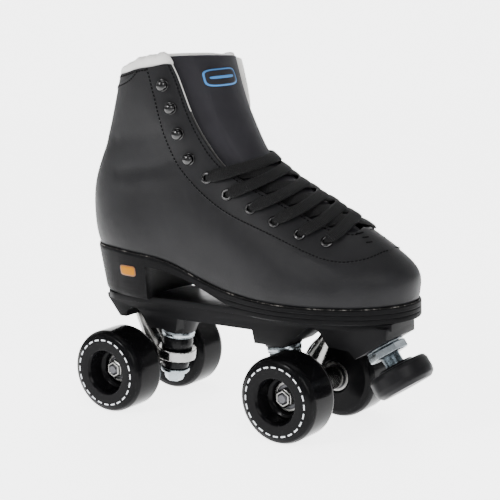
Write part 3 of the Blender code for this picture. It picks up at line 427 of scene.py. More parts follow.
def ramp(tree, factor, stops):
    """Colour ramp from (position, colour) stops."""
    node = tree.nodes.new("ShaderNodeValToRGB")
    tree.links.new(factor, node.inputs["Fac"])
    elements = node.color_ramp.elements
    while len(elements) < len(stops):
        elements.new(0.5)
    for element, (position, colour) in zip(elements, stops):
        element.position = position
        element.color = (*colour, 1)
    return node.outputs["Color"]


def span(tree, factor, low, high):
    """Factor from 0..1 mapped to low..high."""
    node = tree.nodes.new("ShaderNodeMapRange")
    node.inputs["To Min"].default_value = low
    node.inputs["To Max"].default_value = high
    tree.links.new(factor, node.inputs["Value"])
    return node.outputs["Result"]


def blend_math(tree, operation, a, b):
    """Math node on two values, each a socket or a number."""
    node = tree.nodes.new("ShaderNodeMath")
    node.operation = operation
    for socket, value in zip(node.inputs, (a, b)):
        if hasattr(value, "links"):
            tree.links.new(value, socket)
        else:
            socket.default_value = value
    return node.outputs[0]


def bump(tree, shader, height, distance, strength=1.0, under=None):
    """Bump of a height in metres, over an earlier bump if there is one."""
    node = tree.nodes.new("ShaderNodeBump")
    node.inputs["Distance"].default_value = distance
    node.inputs["Strength"].default_value = strength
    tree.links.new(height, node.inputs["Height"])
    if under is not None:
        tree.links.new(under, node.inputs["Normal"])
    tree.links.new(node.outputs["Normal"], shader.inputs["Normal"])
    return node.outputs["Normal"]


def mottle(tree, shader, factor, colour, low, high, edges=(0.3, 0.7)):
    """Base colour that goes from low to high times a colour by a factor."""
    stops = [(edge, tuple(min(1, c * share) for c in colour)) for edge, share in zip(edges, (low, high))]
    tree.links.new(ramp(tree, factor, stops), shader.inputs["Base Color"])


def uneven(tree, shader, factor, low, high):
    """Roughness between two values by a factor."""
    tree.links.new(span(tree, factor, low, high), shader.inputs["Roughness"])


def leather(name, colour, roughness=0.5, grain=900, depth=0.00006):
    """Smooth leather: soft pebbles under fine pores, uneven dye and polish."""
    material, tree, shader = plain(name, colour, roughness, Specular_IOR_Level=0.1)
    vector = coordinates(tree)
    mottle(tree, shader, noise(tree, vector, 28, 4), colour, 0.82, 1.2)
    uneven(tree, shader, noise(tree, vector, 160, 5), roughness - 0.07, roughness + 0.09)
    soft = bump(tree, shader, noise(tree, vector, 90, 2), 0.00025, 0.5)
    bump(tree, shader, cells(tree, vector, grain), depth, 0.8, soft)
    return material


def felt(name, colour, fuzz=1500):
    """Brushed fabric lining: fine fibres, patchy and soft."""
    material, tree, shader = plain(name, colour, 0.95, Sheen_Weight=0.4, Sheen_Roughness=0.5)
    vector = coordinates(tree)
    mottle(tree, shader, noise(tree, vector, 60, 5), colour, 0.8, 1.12, (0.25, 0.75))
    soft = bump(tree, shader, noise(tree, vector, 220, 4), 0.0006, 0.6)
    bump(tree, shader, noise(tree, vector, fuzz, 3), 0.0002, 0.7, soft)
    return material


def moulded(name, colour, roughness, grain=500, depth=0.00005, **sockets):
    """Moulded rubber or plastic: faint orange peel and uneven gloss."""
    material, tree, shader = plain(name, colour, roughness, **sockets)
    vector = coordinates(tree)
    uneven(tree, shader, noise(tree, vector, 130, 6, 0.65), max(0.02, roughness - 0.08), roughness + 0.1)
    mottle(tree, shader, noise(tree, vector, 40, 4), colour, 0.85, 1.15)
    bump(tree, shader, noise(tree, vector, grain, 3), depth, 0.6)
    return material


def stacked(name, colour, roughness):
    """Sole edge: fine level layers, as in stacked leather, with a rubbed grain."""
    material, tree, shader = plain(name, colour, roughness, Specular_IOR_Level=0.03)
    layers = noise(tree, coordinates(tree, (30, 30, 1400)), 1.0, 4, 0.7)
    vector = coordinates(tree)
    mottle(tree, shader, layers, colour, 0.72, 1.3)
    uneven(tree, shader, noise(tree, vector, 150, 5), roughness - 0.08, roughness + 0.1)
    bump(tree, shader, layers, 0.00025, 0.7)
    return material


def metal(name, colour, roughness, streak=(1, 1, 1), scale=260, depth=0.00003):
    """Bare metal: uneven gloss with fine marks, streaked where it was drawn or turned."""
    material, tree, shader = plain(name, colour, roughness, Metallic=1.0)
    vector = coordinates(tree, streak)
    marks = noise(tree, vector, scale, 6, 0.7)
    uneven(tree, shader, marks, max(0.05, roughness - 0.09), roughness + 0.14)
    mottle(tree, shader, noise(tree, coordinates(tree), 70, 4), colour, 0.86, 1.06)
    bump(tree, shader, marks, depth, 0.6)
    return material


def woven(name, colour):
    """Flat lace: V-shaped ribs of thread along its run, u along and v across, both in metres."""
    material, tree, shader = plain(name, colour, 0.8, Specular_IOR_Level=0.2)
    parts = tree.nodes.new("ShaderNodeSeparateXYZ")
    tree.links.new(coordinates(tree, (1, 1, 1), uv=True), parts.inputs[0])
    along, across = parts.outputs["X"], parts.outputs["Y"]

    def times(value, factor):
        """Value times a factor."""
        return blend_math(tree, "MULTIPLY", value, factor)

    def sine(value):
        """Sine of a value."""
        return blend_math(tree, "SINE", value, 0)

    fold = blend_math(tree, "ABSOLUTE", sine(times(across, 2 * math.pi / (4.2 * MM))), 0)
    slant = blend_math(tree, "ADD", times(along, 2 * math.pi / (1.25 * MM)), times(fold, 2.6))
    rows = sine(times(across, 2 * math.pi / (1.05 * MM)))
    height = blend_math(tree, "ADD", times(sine(slant), 0.5), times(rows, 0.35))
    # colour follows the ribs' height, darker in the weave's hollows and lighter on its crests: painted shade
    # and painted highlight
    mottle(tree, shader, height, colour, 0.4, 2.4, (0.1, 0.9))
    bump(tree, shader, height, 0.00028, 0.9)
    return material


def broken(name, colour, under):
    """Line of dried cement that comes and goes along the feather."""
    material, tree, shader = plain(name, under, 0.6, Specular_IOR_Level=0.1)
    vector = coordinates(tree)
    patches = blend_math(tree, "MULTIPLY", noise(tree, vector, 75, 2), noise(tree, vector, 420, 3))
    tree.links.new(ramp(tree, patches, [(0.27, under), (0.34, colour)]), shader.inputs["Base Color"])
    bump(tree, shader, noise(tree, vector, 700, 3), 0.0001)
    return material


BOOT_LEATHER = leather("boot_leather", (0.0092, 0.0092, 0.01), 0.46)
STAY_LEATHER = leather("stay_leather", (0.0094, 0.0094, 0.0102), 0.45)
TONGUE_LEATHER = leather("tongue_leather", (0.0135, 0.013, 0.0155), 0.52, 800)
LINING = felt("collar_lining", (0.66, 0.65, 0.63))
# darker copy of the pale lining felt, for the lining down the throat: painted shade
SHADED_THROAT_FELT = felt("throat_lining_painted_shade", (0.03, 0.0288, 0.027))
INSOLE_FELT = felt("insole_felt", (0.34, 0.34, 0.35))
THREAD = moulded("black_thread", (0.0015, 0.0015, 0.0018), 0.8, 2500, 0.0001, Specular_IOR_Level=0.05)
LACE = woven("lace_weave", (0.0036, 0.0036, 0.004))
SOLE = stacked("sole_rubber", (0.0042, 0.0042, 0.0045), 0.46)
CEMENT = broken("feather_cement", (0.1, 0.095, 0.088), (0.004, 0.004, 0.004))
NYLON = moulded("plate_nylon", (0.0042, 0.0042, 0.0046), 0.38, 420, 0.00008, Specular_IOR_Level=0.045)
URETHANE = moulded("wheel_urethane", (0.0025, 0.0025, 0.0028), 0.15, 300, 0.00002, Specular_IOR_Level=0.05)
PRINT = moulded("wheel_print", (0.6, 0.62, 0.65), 0.5, 1200, 0.00002)
CUSHION = moulded("cushion_rubber", (0.003, 0.003, 0.0034), 0.22, 260, 0.00003, Specular_IOR_Level=0.08)
STOP_RUBBER = moulded("stop_rubber", (0.006, 0.006, 0.0066), 0.36, 420, 0.00005, Specular_IOR_Level=0.07)
CAST = metal("cast_aluminium", (0.25, 0.247, 0.24), 0.22, scale=120, depth=0.00008)
ZINC = metal("bright_zinc", (0.24, 0.27, 0.29), 0.24, scale=300)
STEEL = metal("bearing_steel", (0.24, 0.237, 0.23), 0.25, scale=400)
DARK_STEEL = metal("axle_steel", (0.07, 0.07, 0.075), 0.35, scale=500)
BLACK_METAL = moulded("japanned_metal", (0.0015, 0.0015, 0.0018), 0.07, 500, 0.00001, Specular_IOR_Level=0.5)
# near-black discs that darken the eyelet holes: painted shade
PAINTED_HOLE_SHADE = moulded("eyelet_hole_painted_shade", (0.006, 0.006, 0.0065), 0.5)
HEEL_TAB = moulded("heel_tab", (0.31, 0.115, 0.0), 0.5, 900, 0.00005, Specular_IOR_Level=0.08)
TAB_RIM = moulded("heel_tab_rim", (0.14, 0.05, 0.008), 0.5, 900, 0.00005)
PATCH_BLUE = moulded("patch_blue", (0.03, 0.16, 0.4), 0.7, 2500, 0.0001)

# ---------------------------------------------------------------- the boot's surface
HEIGHTS = [0, 8, 20, 35, 50, 67, 87, 106, 126, 143]
BACK_X = [-113.8, -115.5, -116.6, -116.1, -112.5, -104.2, -94.8, -87.8, -80.5, -74.0]
FRONT_X = [152.0, 153.7, 153.1, 131.8, 94.4, 49.6, 27.7, 16.0, 7.5, 1.5]
FOLLOW = [1, 1, 0.95, 0.8, 0.55, 0.3, 0.12, 0.04, 0, 0]
PLACES = [0, 0.12, 0.25, 0.4, 0.5, 0.62, 0.75, 0.88, 1.0]
SHAFT_WIDTHS = [
    [60, 56, 48, 39, 37, 38, 39, 38, 36],
    [57, 53, 46, 39, 37, 37, 37, 36, 33],
    [54, 51, 45, 40, 39, 41, 41, 39, 34],
    [51, 49, 45, 42, 42, 44, 44.5, 41, 36],
    [49, 48, 45, 43.5, 43.5, 45, 45, 42, 37],
    [47, 47, 45, 44, 44.5, 45.5, 44.5, 42, 38]]
OUTER_WIDTHS = [
    [60, 54, 46, 34, 35, 47, 55, 61, 64],
    [62, 57, 49, 36, 37, 48, 57, 62, 66],
    [63, 59, 51, 38, 38, 47, 54, 58, 58],
    [62, 58, 50, 39, 38, 43, 46, 46, 44]] + SHAFT_WIDTHS
INNER_WIDTHS = [
    [60, 54, 45, 30, 30, 44, 55, 62, 64],
    [62, 57, 48, 32, 32, 45, 57, 63, 66],
    [63, 59, 50, 35, 35, 45, 54, 58, 58],
    [62, 58, 50, 38, 37, 42, 46, 46, 44]] + SHAFT_WIDTHS
TOE_SWING = [(0, 0), (0.45, 0), (0.7, 2.5), (0.9, 6), (1, 7.5)]
SWING_FADE = 90.0
SOLE_LINE = [(-80, 0), (-60, 1.6), (-30, 5.8), (0, 15.7), (30, 22.2), (60, 24.4), (95, 25.1), (130, 24.8),
             (165, 23.8)]
THROAT_EDGE = [(1.0, 42.3), (0.945, 41.4), (0.9, 41.2), (0.865, 42.8), (0.831, 46), (0.808, 52), (0.78, 58.7),
               (0.754, 65.5), (0.738, 74), (0.727, 86), (0.722, 98), (0.719, 111), (0.712, 121),
               (0.701, 130), (0.684, 138)]
COLLAR_EDGE = [(0.64, 138.2), (0.566, 136.5), (0.472, 135), (0.38, 132.2), (0.28, 130), (0.18, 128.6),
               (0.09, 127.7), (0, 127.5)]
EYELETS = [(0.642, 64.3), (0.656, 56.7), (0.684, 51), (0.713, 45.7), (0.748, 40.7), (0.798, 37.5)]
HOOKS = [(0.622, 123.6), (0.639, 107.8), (0.632, 90.6), (0.628, 74.5)]
STAY_SEAM = [(0.533, 136.0), (0.548, 126), (0.56, 113), (0.561, 101), (0.558, 90), (0.562, 79), (0.563, 67.5),
             (0.568, 57), (0.584, 50.5), (0.61, 46.2), (0.645, 42.6), (0.685, 37.8), (0.73, 31.5),
             (0.771, 28.4), (0.81, 28.1), (0.857, 29.1), (0.915, 31), (0.96, 31.8), (1.0, 31.9)]
BACK_BAND = [(0.0, 113.0), (0.08, 114.2), (0.151, 117.3), (0.25, 120.6), (0.353, 123.9), (0.416, 127.8),
             (0.46, 132.5)]
TOE_SEAM = [(0.815, 27.2), (0.826, 21), (0.836, 14.4), (0.85, 7.1), (0.866, 0.6)]
THROAT_COLUMNS = 11.0
ALL_COLUMNS = 20.0
CORNER = len(THROAT_EDGE) - 1
FOOT_PLACE_AT_CORNER = 0.4
TURN = [(0, 0), (2, 0.2), (4, 0.8), (6, 1), (9, 1), (11, 0.5), (14, 0), (20, 0)]


def smooth(knots, at):
    """Natural cubic through (place, values) knots, read at an array of places."""
    knots = np.asarray(knots, float)
    place, value = knots[:, 0], knots[:, 1:]
    count = len(place)
    step = np.diff(place)
    matrix = np.eye(count)
    bend = np.zeros((count, value.shape[1]))
    for i in range(1, count - 1):
        matrix[i, i - 1:i + 2] = step[i - 1], 2 * (step[i - 1] + step[i]), step[i]
        bend[i] = 6 * ((value[i + 1] - value[i]) / step[i] - (value[i] - value[i - 1]) / step[i - 1])
    second = np.linalg.solve(matrix, bend)
    at = np.asarray(at, float)
    flat = np.clip(at.ravel(), place[0], place[-1])
    i = np.clip(np.searchsorted(place, flat) - 1, 0, count - 2)
    before = (flat - place[i])[:, None]
    after = (place[i + 1] - flat)[:, None]
    gap = step[i][:, None]
    out = (second[i] * after ** 3 + second[i + 1] * before ** 3) / (6 * gap)
    out += (value[i] / gap - second[i] * gap / 6) * after
    out += (value[i + 1] / gap - second[i + 1] * gap / 6) * before
    return out[:, 0].reshape(at.shape) if value.shape[1] == 1 else out.reshape(at.shape + (value.shape[1],))


def half_width(widths, place, height):
    """Half width from its table: a cubic up the boot for each place, weighted by a cubic round the ring."""
    row = smooth(np.column_stack([HEIGHTS, widths]), height.ravel()).reshape(-1, len(PLACES))
    weights = smooth(np.column_stack([PLACES, np.eye(len(PLACES))]), place.ravel())
    return (row * weights).sum(1).reshape(place.shape)


def sole_line(x):
    """Height of the sole line at x, both in metres."""
    return SEAT_Z - smooth(SOLE_LINE, (x - MID_X) / MM) * MM


def last(place, height, side):
    """Boot's outer surface: X runs back to front by a cosine of the place, Y is the half width times its
    sine, and Z is the height over the seat less the sole line's drop."""
    place, height = np.broadcast_arrays(np.asarray(place, float), np.asarray(height, float))
    back = smooth(list(zip(HEIGHTS, BACK_X)), height)
    front = smooth(list(zip(HEIGHTS, FRONT_X)), height)
    follow = smooth(list(zip(HEIGHTS, FOLLOW)), height)
    along = (1 - np.cos(np.pi * place)) / 2
    x = back + (front - back) * along
    widths = OUTER_WIDTHS if side < 0 else INNER_WIDTHS
    y = side * half_width(widths, place, height) * np.sin(np.pi * place)
    y = y + smooth(TOE_SWING, along) * np.clip(1 - height / SWING_FADE, 0, 1)
    z = height - follow * smooth(SOLE_LINE, x)
    return np.stack([x * MM + MID_X, y * MM, z * MM + SEAT_Z], -1)


def last_normal(place, height, side):
    """Outward unit normals of the last, from differences along it."""
    step = 0.004
    a = last(np.clip(place + step, 0, 1), height, side) - last(np.clip(place - step, 0, 1), height, side)
    b = last(place, height + 1.0, side) - last(place, height - 1.0, side)
    normal = np.cross(a, b) * -side
    flat = np.abs(np.asarray(place) * np.ones(normal.shape[:-1]) - 0.5) > 0.499
    normal[flat, 1] = 0
    return unit(normal)


def lifted(place, height, side, lift):
    """Point of the boot raised along its normal by a lift in millimetres."""
    place, height, lift = np.broadcast_arrays(np.asarray(place, float), np.asarray(height, float), lift)
    return last(place, height, side) + last_normal(place, height, side) * (np.asarray(lift)[..., None] * MM)


def throat_place(height):
    """Place of the throat's edge at a height."""
    return smooth([(h, t) for t, h in THROAT_EDGE[4:]], height)


def both_sides(outer, inner):
    """Ring rows from the toe back along the outer side and forward along the inner side."""
    return np.concatenate([outer, inner[:, -2:0:-1]], 1)


def route(track, side, gap, lift=0.0):
    """Evenly spaced points of a line on the boot through (place, height) knots, its tangents and normals."""
    at = smooth(numbered(track), np.linspace(0, len(track) - 1, 900))
    points = last(at[:, 0], at[:, 1], side)
    run = run_of(points)
    even = np.arange(gap / 2, run[-1] / MM, gap) * MM
    place, height = np.interp(even, run, at[:, 0]), np.interp(even, run, at[:, 1])
    points = lifted(place, height, side, lift)
    tangent = np.gradient(points, axis=0)
    return points, unit(tangent), last_normal(place, height, side)


def shifted(track, amount):
    """Track moved sideways in place by an amount, for a line beside an edge."""
    return [(t + amount, h) for t, h in track]


def distance_to(points, line):
    """Distance from each point to the nearest point of a line, in millimetres."""
    flat = points.reshape(-1, 3)
    near = np.empty(len(flat))
    for start in range(0, len(flat), 8000):
        part = flat[start:start + 8000]
        near[start:start + 8000] = np.sqrt(((part[:, None] - line[None]) ** 2).sum(-1).min(1))
    return near.reshape(points.shape[:-1]) / MM


# ---------------------------------------------------------------- upper
LIP_COLUMN = 8.3           # where the pale lining gives way to a darker copy of it, down the throat: painted shade
LEATHER_THICKNESS = 1.5
STAY_THICKNESS = 0.5
LINING_THICKNESS = 0.6
THREAD_GAP = 2.75           # from one stitch to the next
HOLE_CLEAR = 2.6           # leather is left out this near to an eyelet's middle
FEATHER_ROLL = 1.2         # the upper turns in by this much where it meets the sole
# soft troughs and ridges of wear: knots, width and depth in millimetres, below zero for a ridge
CREASES = [
    ([(0.30, 58), (0.38, 62), (0.47, 66), (0.54, 71)], 4.5, 0.55),
    ([(0.33, 50), (0.42, 55), (0.50, 60), (0.55, 66)], 5.0, -0.4),
    ([(0.28, 80), (0.37, 84), (0.46, 86), (0.53, 90)], 6.0, 0.35),
    ([(0.66, 30), (0.71, 24), (0.75, 17), (0.77, 10)], 5.5, 0.4),
    ([(0.70, 33), (0.76, 26), (0.80, 18)], 5.0, -0.3),
    ([(0.02, 78), (0.10, 76), (0.19, 77), (0.28, 82)], 6.5, 0.45)]


def rim_point(column):
    """Leather rim's place and height for each column of a half, from the toe (0) to the back."""
    at = np.where(column <= THROAT_COLUMNS, column / THROAT_COLUMNS * CORNER,
                  CORNER + (column - THROAT_COLUMNS) / (ALL_COLUMNS - THROAT_COLUMNS) * len(COLLAR_EDGE))
    throat = smooth(numbered(THROAT_EDGE), np.minimum(at, CORNER))
    collar = smooth([(i + CORNER, *point) for i, point in enumerate([THROAT_EDGE[-1]] + COLLAR_EDGE)],
                    np.maximum(at, CORNER))
    return np.where((at <= CORNER)[..., None], throat, collar)


def upper_spots(columns, rows):
    """Place and height over a half: columns run from the toe to the back, rows from the sole to the rim."""
    column = np.linspace(0, ALL_COLUMNS, columns)
    rim = rim_point(column)
    foot = np.where(column <= THROAT_COLUMNS,
                    1 - (1 - FOOT_PLACE_AT_CORNER) * column / THROAT_COLUMNS,
                    FOOT_PLACE_AT_CORNER * (1 - (column - THROAT_COLUMNS) / (ALL_COLUMNS - THROAT_COLUMNS)))
    rise = np.linspace(0, 1, rows)[:, None]
    turn = np.interp(column, *zip(*TURN))
    place = foot + (rim[:, 0] - foot) * rise ** (1 + 1.2 * turn)
    height = rim[:, 1] * (1 - (1 - rise) ** (1 + 0.6 * turn))
    return place, height


def crease_lift(points, side):
    """Sum of the creases: a bell across each line, faded at its ends."""
    lift = np.zeros(points.shape[:-1])
    for knots, width, depth in CREASES:
        line = route(knots, side, 1.5)[0]
        lift -= depth * np.exp(-(distance_to(points, line) / width) ** 2)
    return lift


def near_eyelets(centres, reach):
    """Which points lie within reach, in millimetres, of an eyelet's middle on either side."""
    spots = np.concatenate([[last(t, h, side) for t, h in EYELETS] for side in SIDES])
    return distance_to(centres, spots) < reach


def make_upper():
    """Quarter and vamp: one sheet of the boot's surface, turned in at the feather and holed for eyelets."""
    place, height = upper_spots(190, 96)
    halves = []
    for side in SIDES:
        points = last(place, height, side)
        lift = crease_lift(points, side) - FEATHER_ROLL * np.clip(1 - height / 2.2, 0, 1) ** 2
        low = np.clip(1 - height / 1.0, 0, 1)
        halves.append(lifted(place, height - 1.2 * low, side, lift))
    points = both_sides(*halves)
    sheet = grid_object("upper", points, True, lambda f: ~near_eyelets(f.mean(1), HOLE_CLEAR + 0.6))
    weld(sheet)
    thicken(sheet, LEATHER_THICKNESS * MM)
    return finish(sharp(sheet, 50), "skate", "upper_leather", BOOT_LEATHER, "upper")


def stay_spots(count, across):
    """Place and height of the facing, collar to toe: its seam is at share 0, the throat's edge at 1."""
    seam = smooth(numbered(STAY_SEAM), np.linspace(0, len(STAY_SEAM) - 1, 800))
    edge = smooth(numbered(THROAT_EDGE[::-1]), np.linspace(0, CORNER, 800))
    rows = []
    for line in (seam, edge):
        points = last(line[:, 0], line[:, 1], -1)
        run = run_of(points)
        even = np.linspace(0, run[-1], count)
        rows.append(read(even, run, line))
    share = np.asarray(across)[:, None, None]
    spots = rows[0] + (rows[1] - rows[0]) * share
    return spots[..., 0], spots[..., 1]


def make_stay():
    """Eyelet facing laid over quarter and vamp: its lift rises as a quarter round at the seam and turns down
    round the throat's edge."""
    edge_rows = [0, 0.0, 0.006, 0.02, 0.045]
    edge_lift = [-0.15, 0.05, 0.22, 0.42, 0.52]
    inner = np.linspace(0.08, 0.955, 34)
    turned = [0.985, 1.0, 1.012, 1.02, 1.02]
    turned_lift = [0.52, 0.35, 0.0, -0.8, -2.0]
    share = np.concatenate([edge_rows, inner, turned])
    lift = np.concatenate([edge_lift, np.full(len(inner), 0.56), turned_lift])[:, None]
    place, height = stay_spots(240, share)
    place = np.clip(place, 0, 1)
    halves = []
    for side in SIDES:
        points = last(place, height, side)
        crease = crease_lift(points, side) * np.clip(share * 4, 0, 1)[:, None]
        halves.append(lifted(place, height, side, lift + crease))
    points = np.concatenate([halves[0], halves[1][:, -2::-1]], 1)
    sheet = grid_object("facing", points, False, lambda f: ~near_eyelets(f.mean(1), HOLE_CLEAR + 1.2))
    thicken(sheet, STAY_THICKNESS * MM)
    return finish(sharp(sheet, 60), "skate", "upper_leather", STAY_LEATHER)


def make_lining(first, last_column, name, material):
    """Collar lining: from inside the shaft up over a padded roll and down behind the leather's edge.

    Each column is a profile of steps up from the leather's edge and steps in from its skin, and the roll
    shrinks to a thin lip past the corner, along the throat.
    """
    column = np.linspace(first, last_column, int(11 * (last_column - first)) + 2)
    rim = rim_point(column)
    full = ease(np.clip((column - THROAT_COLUMNS + 0.05) / 0.6, 0, 1))
    turn = np.linspace(0, np.pi, 13)
    roll_up = np.concatenate([[-9, -4, 0, 2.5], 4.9 + 2.7 * np.sin(turn), [2.0, -6, -16, -30, -48, -66]])
    roll_in = np.concatenate([[-2.0, -1.9, -1.2, -0.7], -3.3 + 2.7 * np.cos(turn),
                              [-6.0, -5.4, -4.6, -4.2, -4.0, -4.0]])
    lip_up = np.concatenate([[-9, -4, -2, -1], -0.6 + 1.2 * np.sin(turn), [-1.5, -6, -12, -20, -30, -40]])
    lip_in = np.concatenate([[-2.4, -2.4, -2.4, -2.4], -3.2 + 0.9 * np.cos(turn), [-4.0] * 6])
    back = np.clip((column - 14) / 6, 0, 1)
    halves = []
    inwards = lip_in[:, None] + (roll_in - lip_in)[:, None] * full
    wave = 0.35 * np.sin(column * 5.3) + 0.25 * np.sin(column * 11.7 + 1)
    for side in SIDES:
        # the roll is lower at the back, and lower all along the inner side's corner
        high = 1 - 0.55 * back if side < 0 else 0.3 + 0.15 * back
        rolled = np.where(roll_up[:, None] > 0, roll_up[:, None] * high, roll_up[:, None])
        up = lip_up[:, None] + (rolled - lip_up[:, None]) * full
        # on the collar "up" is height; beside the throat it is place
        height = rim[:, 1] + up * full + wave * full * (up > 1) * high
        place = rim[:, 0] + up * (1 - full) * 0.0085
        halves.append(lifted(np.clip(place, 0, 1), height, side, inwards))
    if last_column < ALL_COLUMNS:
        pieces = [grid_object(name, half, False) for half in halves]
        for piece in pieces:
            thicken(piece, LINING_THICKNESS * MM)
        return finish(joined(name, pieces), "skate", "insole_felt", material, pad=0.7)
    points = np.concatenate([halves[0], halves[1][:, -2::-1]], 1)
    sheet = grid_object(name, points, False)
    thicken(sheet, LINING_THICKNESS * MM)
    return finish(sheet, "skate", "insole_felt", material, pad=0.7)


def make_far_roll():
    """Padded roll of the lining on the inner quarter's throat edge, thinning from the collar to a point."""
    column = np.linspace(10.9, 8.1, 40)
    rim = rim_point(column)
    spine = lifted(np.clip(rim[:, 0] + 0.012, 0, 1), rim[:, 1], 1, 0.3)
    tangent = unit(np.gradient(spine, axis=0))
    normal = last_normal(rim[:, 0], rim[:, 1], 1)
    across = np.cross(tangent, normal)
    fade = np.linspace(0, 1, 40)
    radius = 3.3 * np.sqrt(np.clip(1 - fade ** 2.5, 0.02, 1)) * np.clip(fade * 12 + 0.3, 0, 1)
    turn = around(20)
    grid = spine[:, None] + radius[:, None, None] * MM * (
        across[:, None] * np.cos(turn)[:, None] * 0.8 + normal[:, None] * np.sin(turn)[:, None])
    roll = grid_object("throat_roll", grid, True)
    face_outwards(roll, fill=True)
    return finish(roll, "skate", "insole_felt", LINING, pad=0.6)


def thread_row(name, lines, length=2.0, width=0.5, sink=0.05):
    """Stitches as one mesh: a capsule of four rings of six points, copied onto each point of the lines."""
    ends = np.array([-1, -0.62, 0.62, 1.0])
    girth = np.array([0.35, 1, 1, 0.35])
    turn = np.arange(6) * np.pi / 3
    template = np.stack([np.repeat(ends * length / 2, 6), (girth[:, None] * np.cos(turn)).ravel() * width,
                         (girth[:, None] * np.sin(turn)).ravel() * width], -1) * MM
    quads = grid_quads(4, 6, True)
    caps = np.array([[0, 3, 2, 1], [0, 5, 4, 3], [18, 19, 20, 21], [18, 21, 22, 23]])
    faces = np.concatenate([quads[:, ::-1], caps])
    points, tangents, normals = (np.concatenate([line[i] for line in lines]) for i in range(3))
    across = np.cross(normals, tangents)
    stitched = (points - normals * sink * MM)[:, None] + (
        template[None, :, :1] * tangents[:, None] + template[None, :, 1:2] * across[:, None]
        + template[None, :, 2:] * normals[:, None])
    numbers = (faces[None] + (np.arange(len(points)) * len(template))[:, None, None]).reshape(-1, 4)
    return face_outwards(mesh_object(name, stitched, numbers.tolist()))


def make_stitches():
    """Rows beside the facing's seam, inside the throat's edge, round the back band and down the toe seam."""
    lines = []
    place, height = stay_spots(400, [0.03, 0.9])
    seam = list(zip(place[0], height[0]))[::8]
    edge = list(zip(place[1], height[1]))[::8]
    for side in SIDES:
        lines.append(route(seam, side, THREAD_GAP, 0.64))
        lines.append(route(edge, side, THREAD_GAP, 0.58))
        lines.append(route(BACK_BAND, side, THREAD_GAP, 0.1))
        lines.append(route([(t, h - 1.9) for t, h in COLLAR_EDGE], side, THREAD_GAP, 0.1))
    for offset in (-0.008, 0.008):
        lines.append(route(shifted(TOE_SEAM, offset), 1, THREAD_GAP, 0.15))
    for t, h, reach in ((0.93, 36.5, 0.014), (0.938, 38.6, 0.013), (0.93, 40.4, 0.012)):
        for side in SIDES:
            lines.append(route([(t - reach, h), (t, h), (t + reach, h)], side, 1.5, 0.65))
    return finish(thread_row("stitches", lines), "skate", "black_cord", THREAD)


def seam_ridge(name, track, side, width, lift):
    """Narrow raised welt along a track, its section half an ellipse."""
    points, tangents, normals = route(track, side, 1.2)
    across = np.cross(tangents, normals)
    turn = np.linspace(-0.25, np.pi + 0.25, 9)
    section = np.stack([np.cos(turn) * width / 2, np.sin(turn) * lift], -1) * MM
    grid = (points[:, None] + across[:, None] * section[None, :, :1]
            + normals[:, None] * section[None, :, 1:])
    return grid_object(name, grid, False)


def make_seams():
    """Edges of the back band and the toe seam, as thin welts."""
    band = [(t, h + 1.1) for t, h in BACK_BAND]
    pieces = [seam_ridge(f"band_{side}", band, side, 0.9, 0.3) for side in SIDES]
    pieces.append(seam_ridge("toe_welt", TOE_SEAM, 1, 1.1, 0.35))
    for piece in pieces:
        thicken(piece, 0.25 * MM)
    return finish(joined("seam_welts", pieces), "skate", "upper_leather", BOOT_LEATHER)


# ---------------------------------------------------------------- tongue
TONGUE_FOOT, TONGUE_TOP = 38.0, 143.0
TONGUE_UNDERLAP = 0.1
THROAT_TOP = 138            # the throat edge's height at the collar
TONGUE_HALF, TONGUE_SPREAD = 34.0, 0.28
TAB_PLACE = (-6.0, 127.0)


def tongue_grid(rows, columns, drop=0.0, grow=0.0):
    """Tongue's outer face: sunk by the wall under the throat's edges, swelling to the skin between them."""
    height = np.linspace(TONGUE_FOOT, TONGUE_TOP + grow, rows)[:, None]
    across = np.linspace(-1, 1, columns)[None, :]
    edge = throat_place(np.minimum(height, THROAT_TOP))
    place = 1 - np.abs(across) * (1 - (edge - TONGUE_UNDERLAP))
    opened = np.clip((place - edge) / (1 - edge) * 2.2, 0, 1)
    swell = ease(opened) * np.clip((height - TONGUE_FOOT - 7) / 12, 0, 1)
    sunk = 4.9 * (1 - swell) + 0.4 * swell + drop
    level = height * np.ones_like(place)
    # the top edge is a little round and leans, higher towards the outer side
    rise = np.clip((level - 118) / 25, 0, 1)
    level = level - 4.0 * rise ** 2 * np.abs(across) ** 3 - (4.0 * across + 1.0) * rise ** 2
    halves = [lifted(place, level, side, -sunk) for side in SIDES]
    return np.where((across < 0)[..., None], halves[0], halves[1])


def make_tongue():
    """Leather face with rounded edges, over a thick soft lining."""
    face = grid_object("tongue_leather", tongue_grid(130, 90), False)
    thicken(face, 2.2 * MM, -1.0)
    round_edges(face, 60)
    finish(sharp(face, 60), "skate", "tongue_padding", TONGUE_LEATHER, "tongue", pad=0.45)
    back = grid_object("tongue_lining", tongue_grid(100, 60, 2.3, 1.6), False)
    thicken(back, 3.4 * MM, -1.0)
    soft = back.modifiers.new("soft", "SUBSURF")
    soft.levels = soft.render_levels = 1
    apply_modifiers(back)
    return finish(sharp(back, 60), "skate", "insole_felt", LINING, pad=0.6)


def tongue_spot(u, v, lift):
    """Point on the tongue's front: u across from -1 outer to 1 inner, in millimetres, v up as height."""
    u, v = np.broadcast_arrays(np.asarray(u, float), np.asarray(v, float))
    place = 1 - np.abs(u) / TONGUE_HALF * TONGUE_SPREAD
    outer = lifted(place, v, -1, lift - 0.4)
    inner = lifted(place, v, 1, lift - 0.4)
    return np.where((u < 0)[..., None], outer, inner)


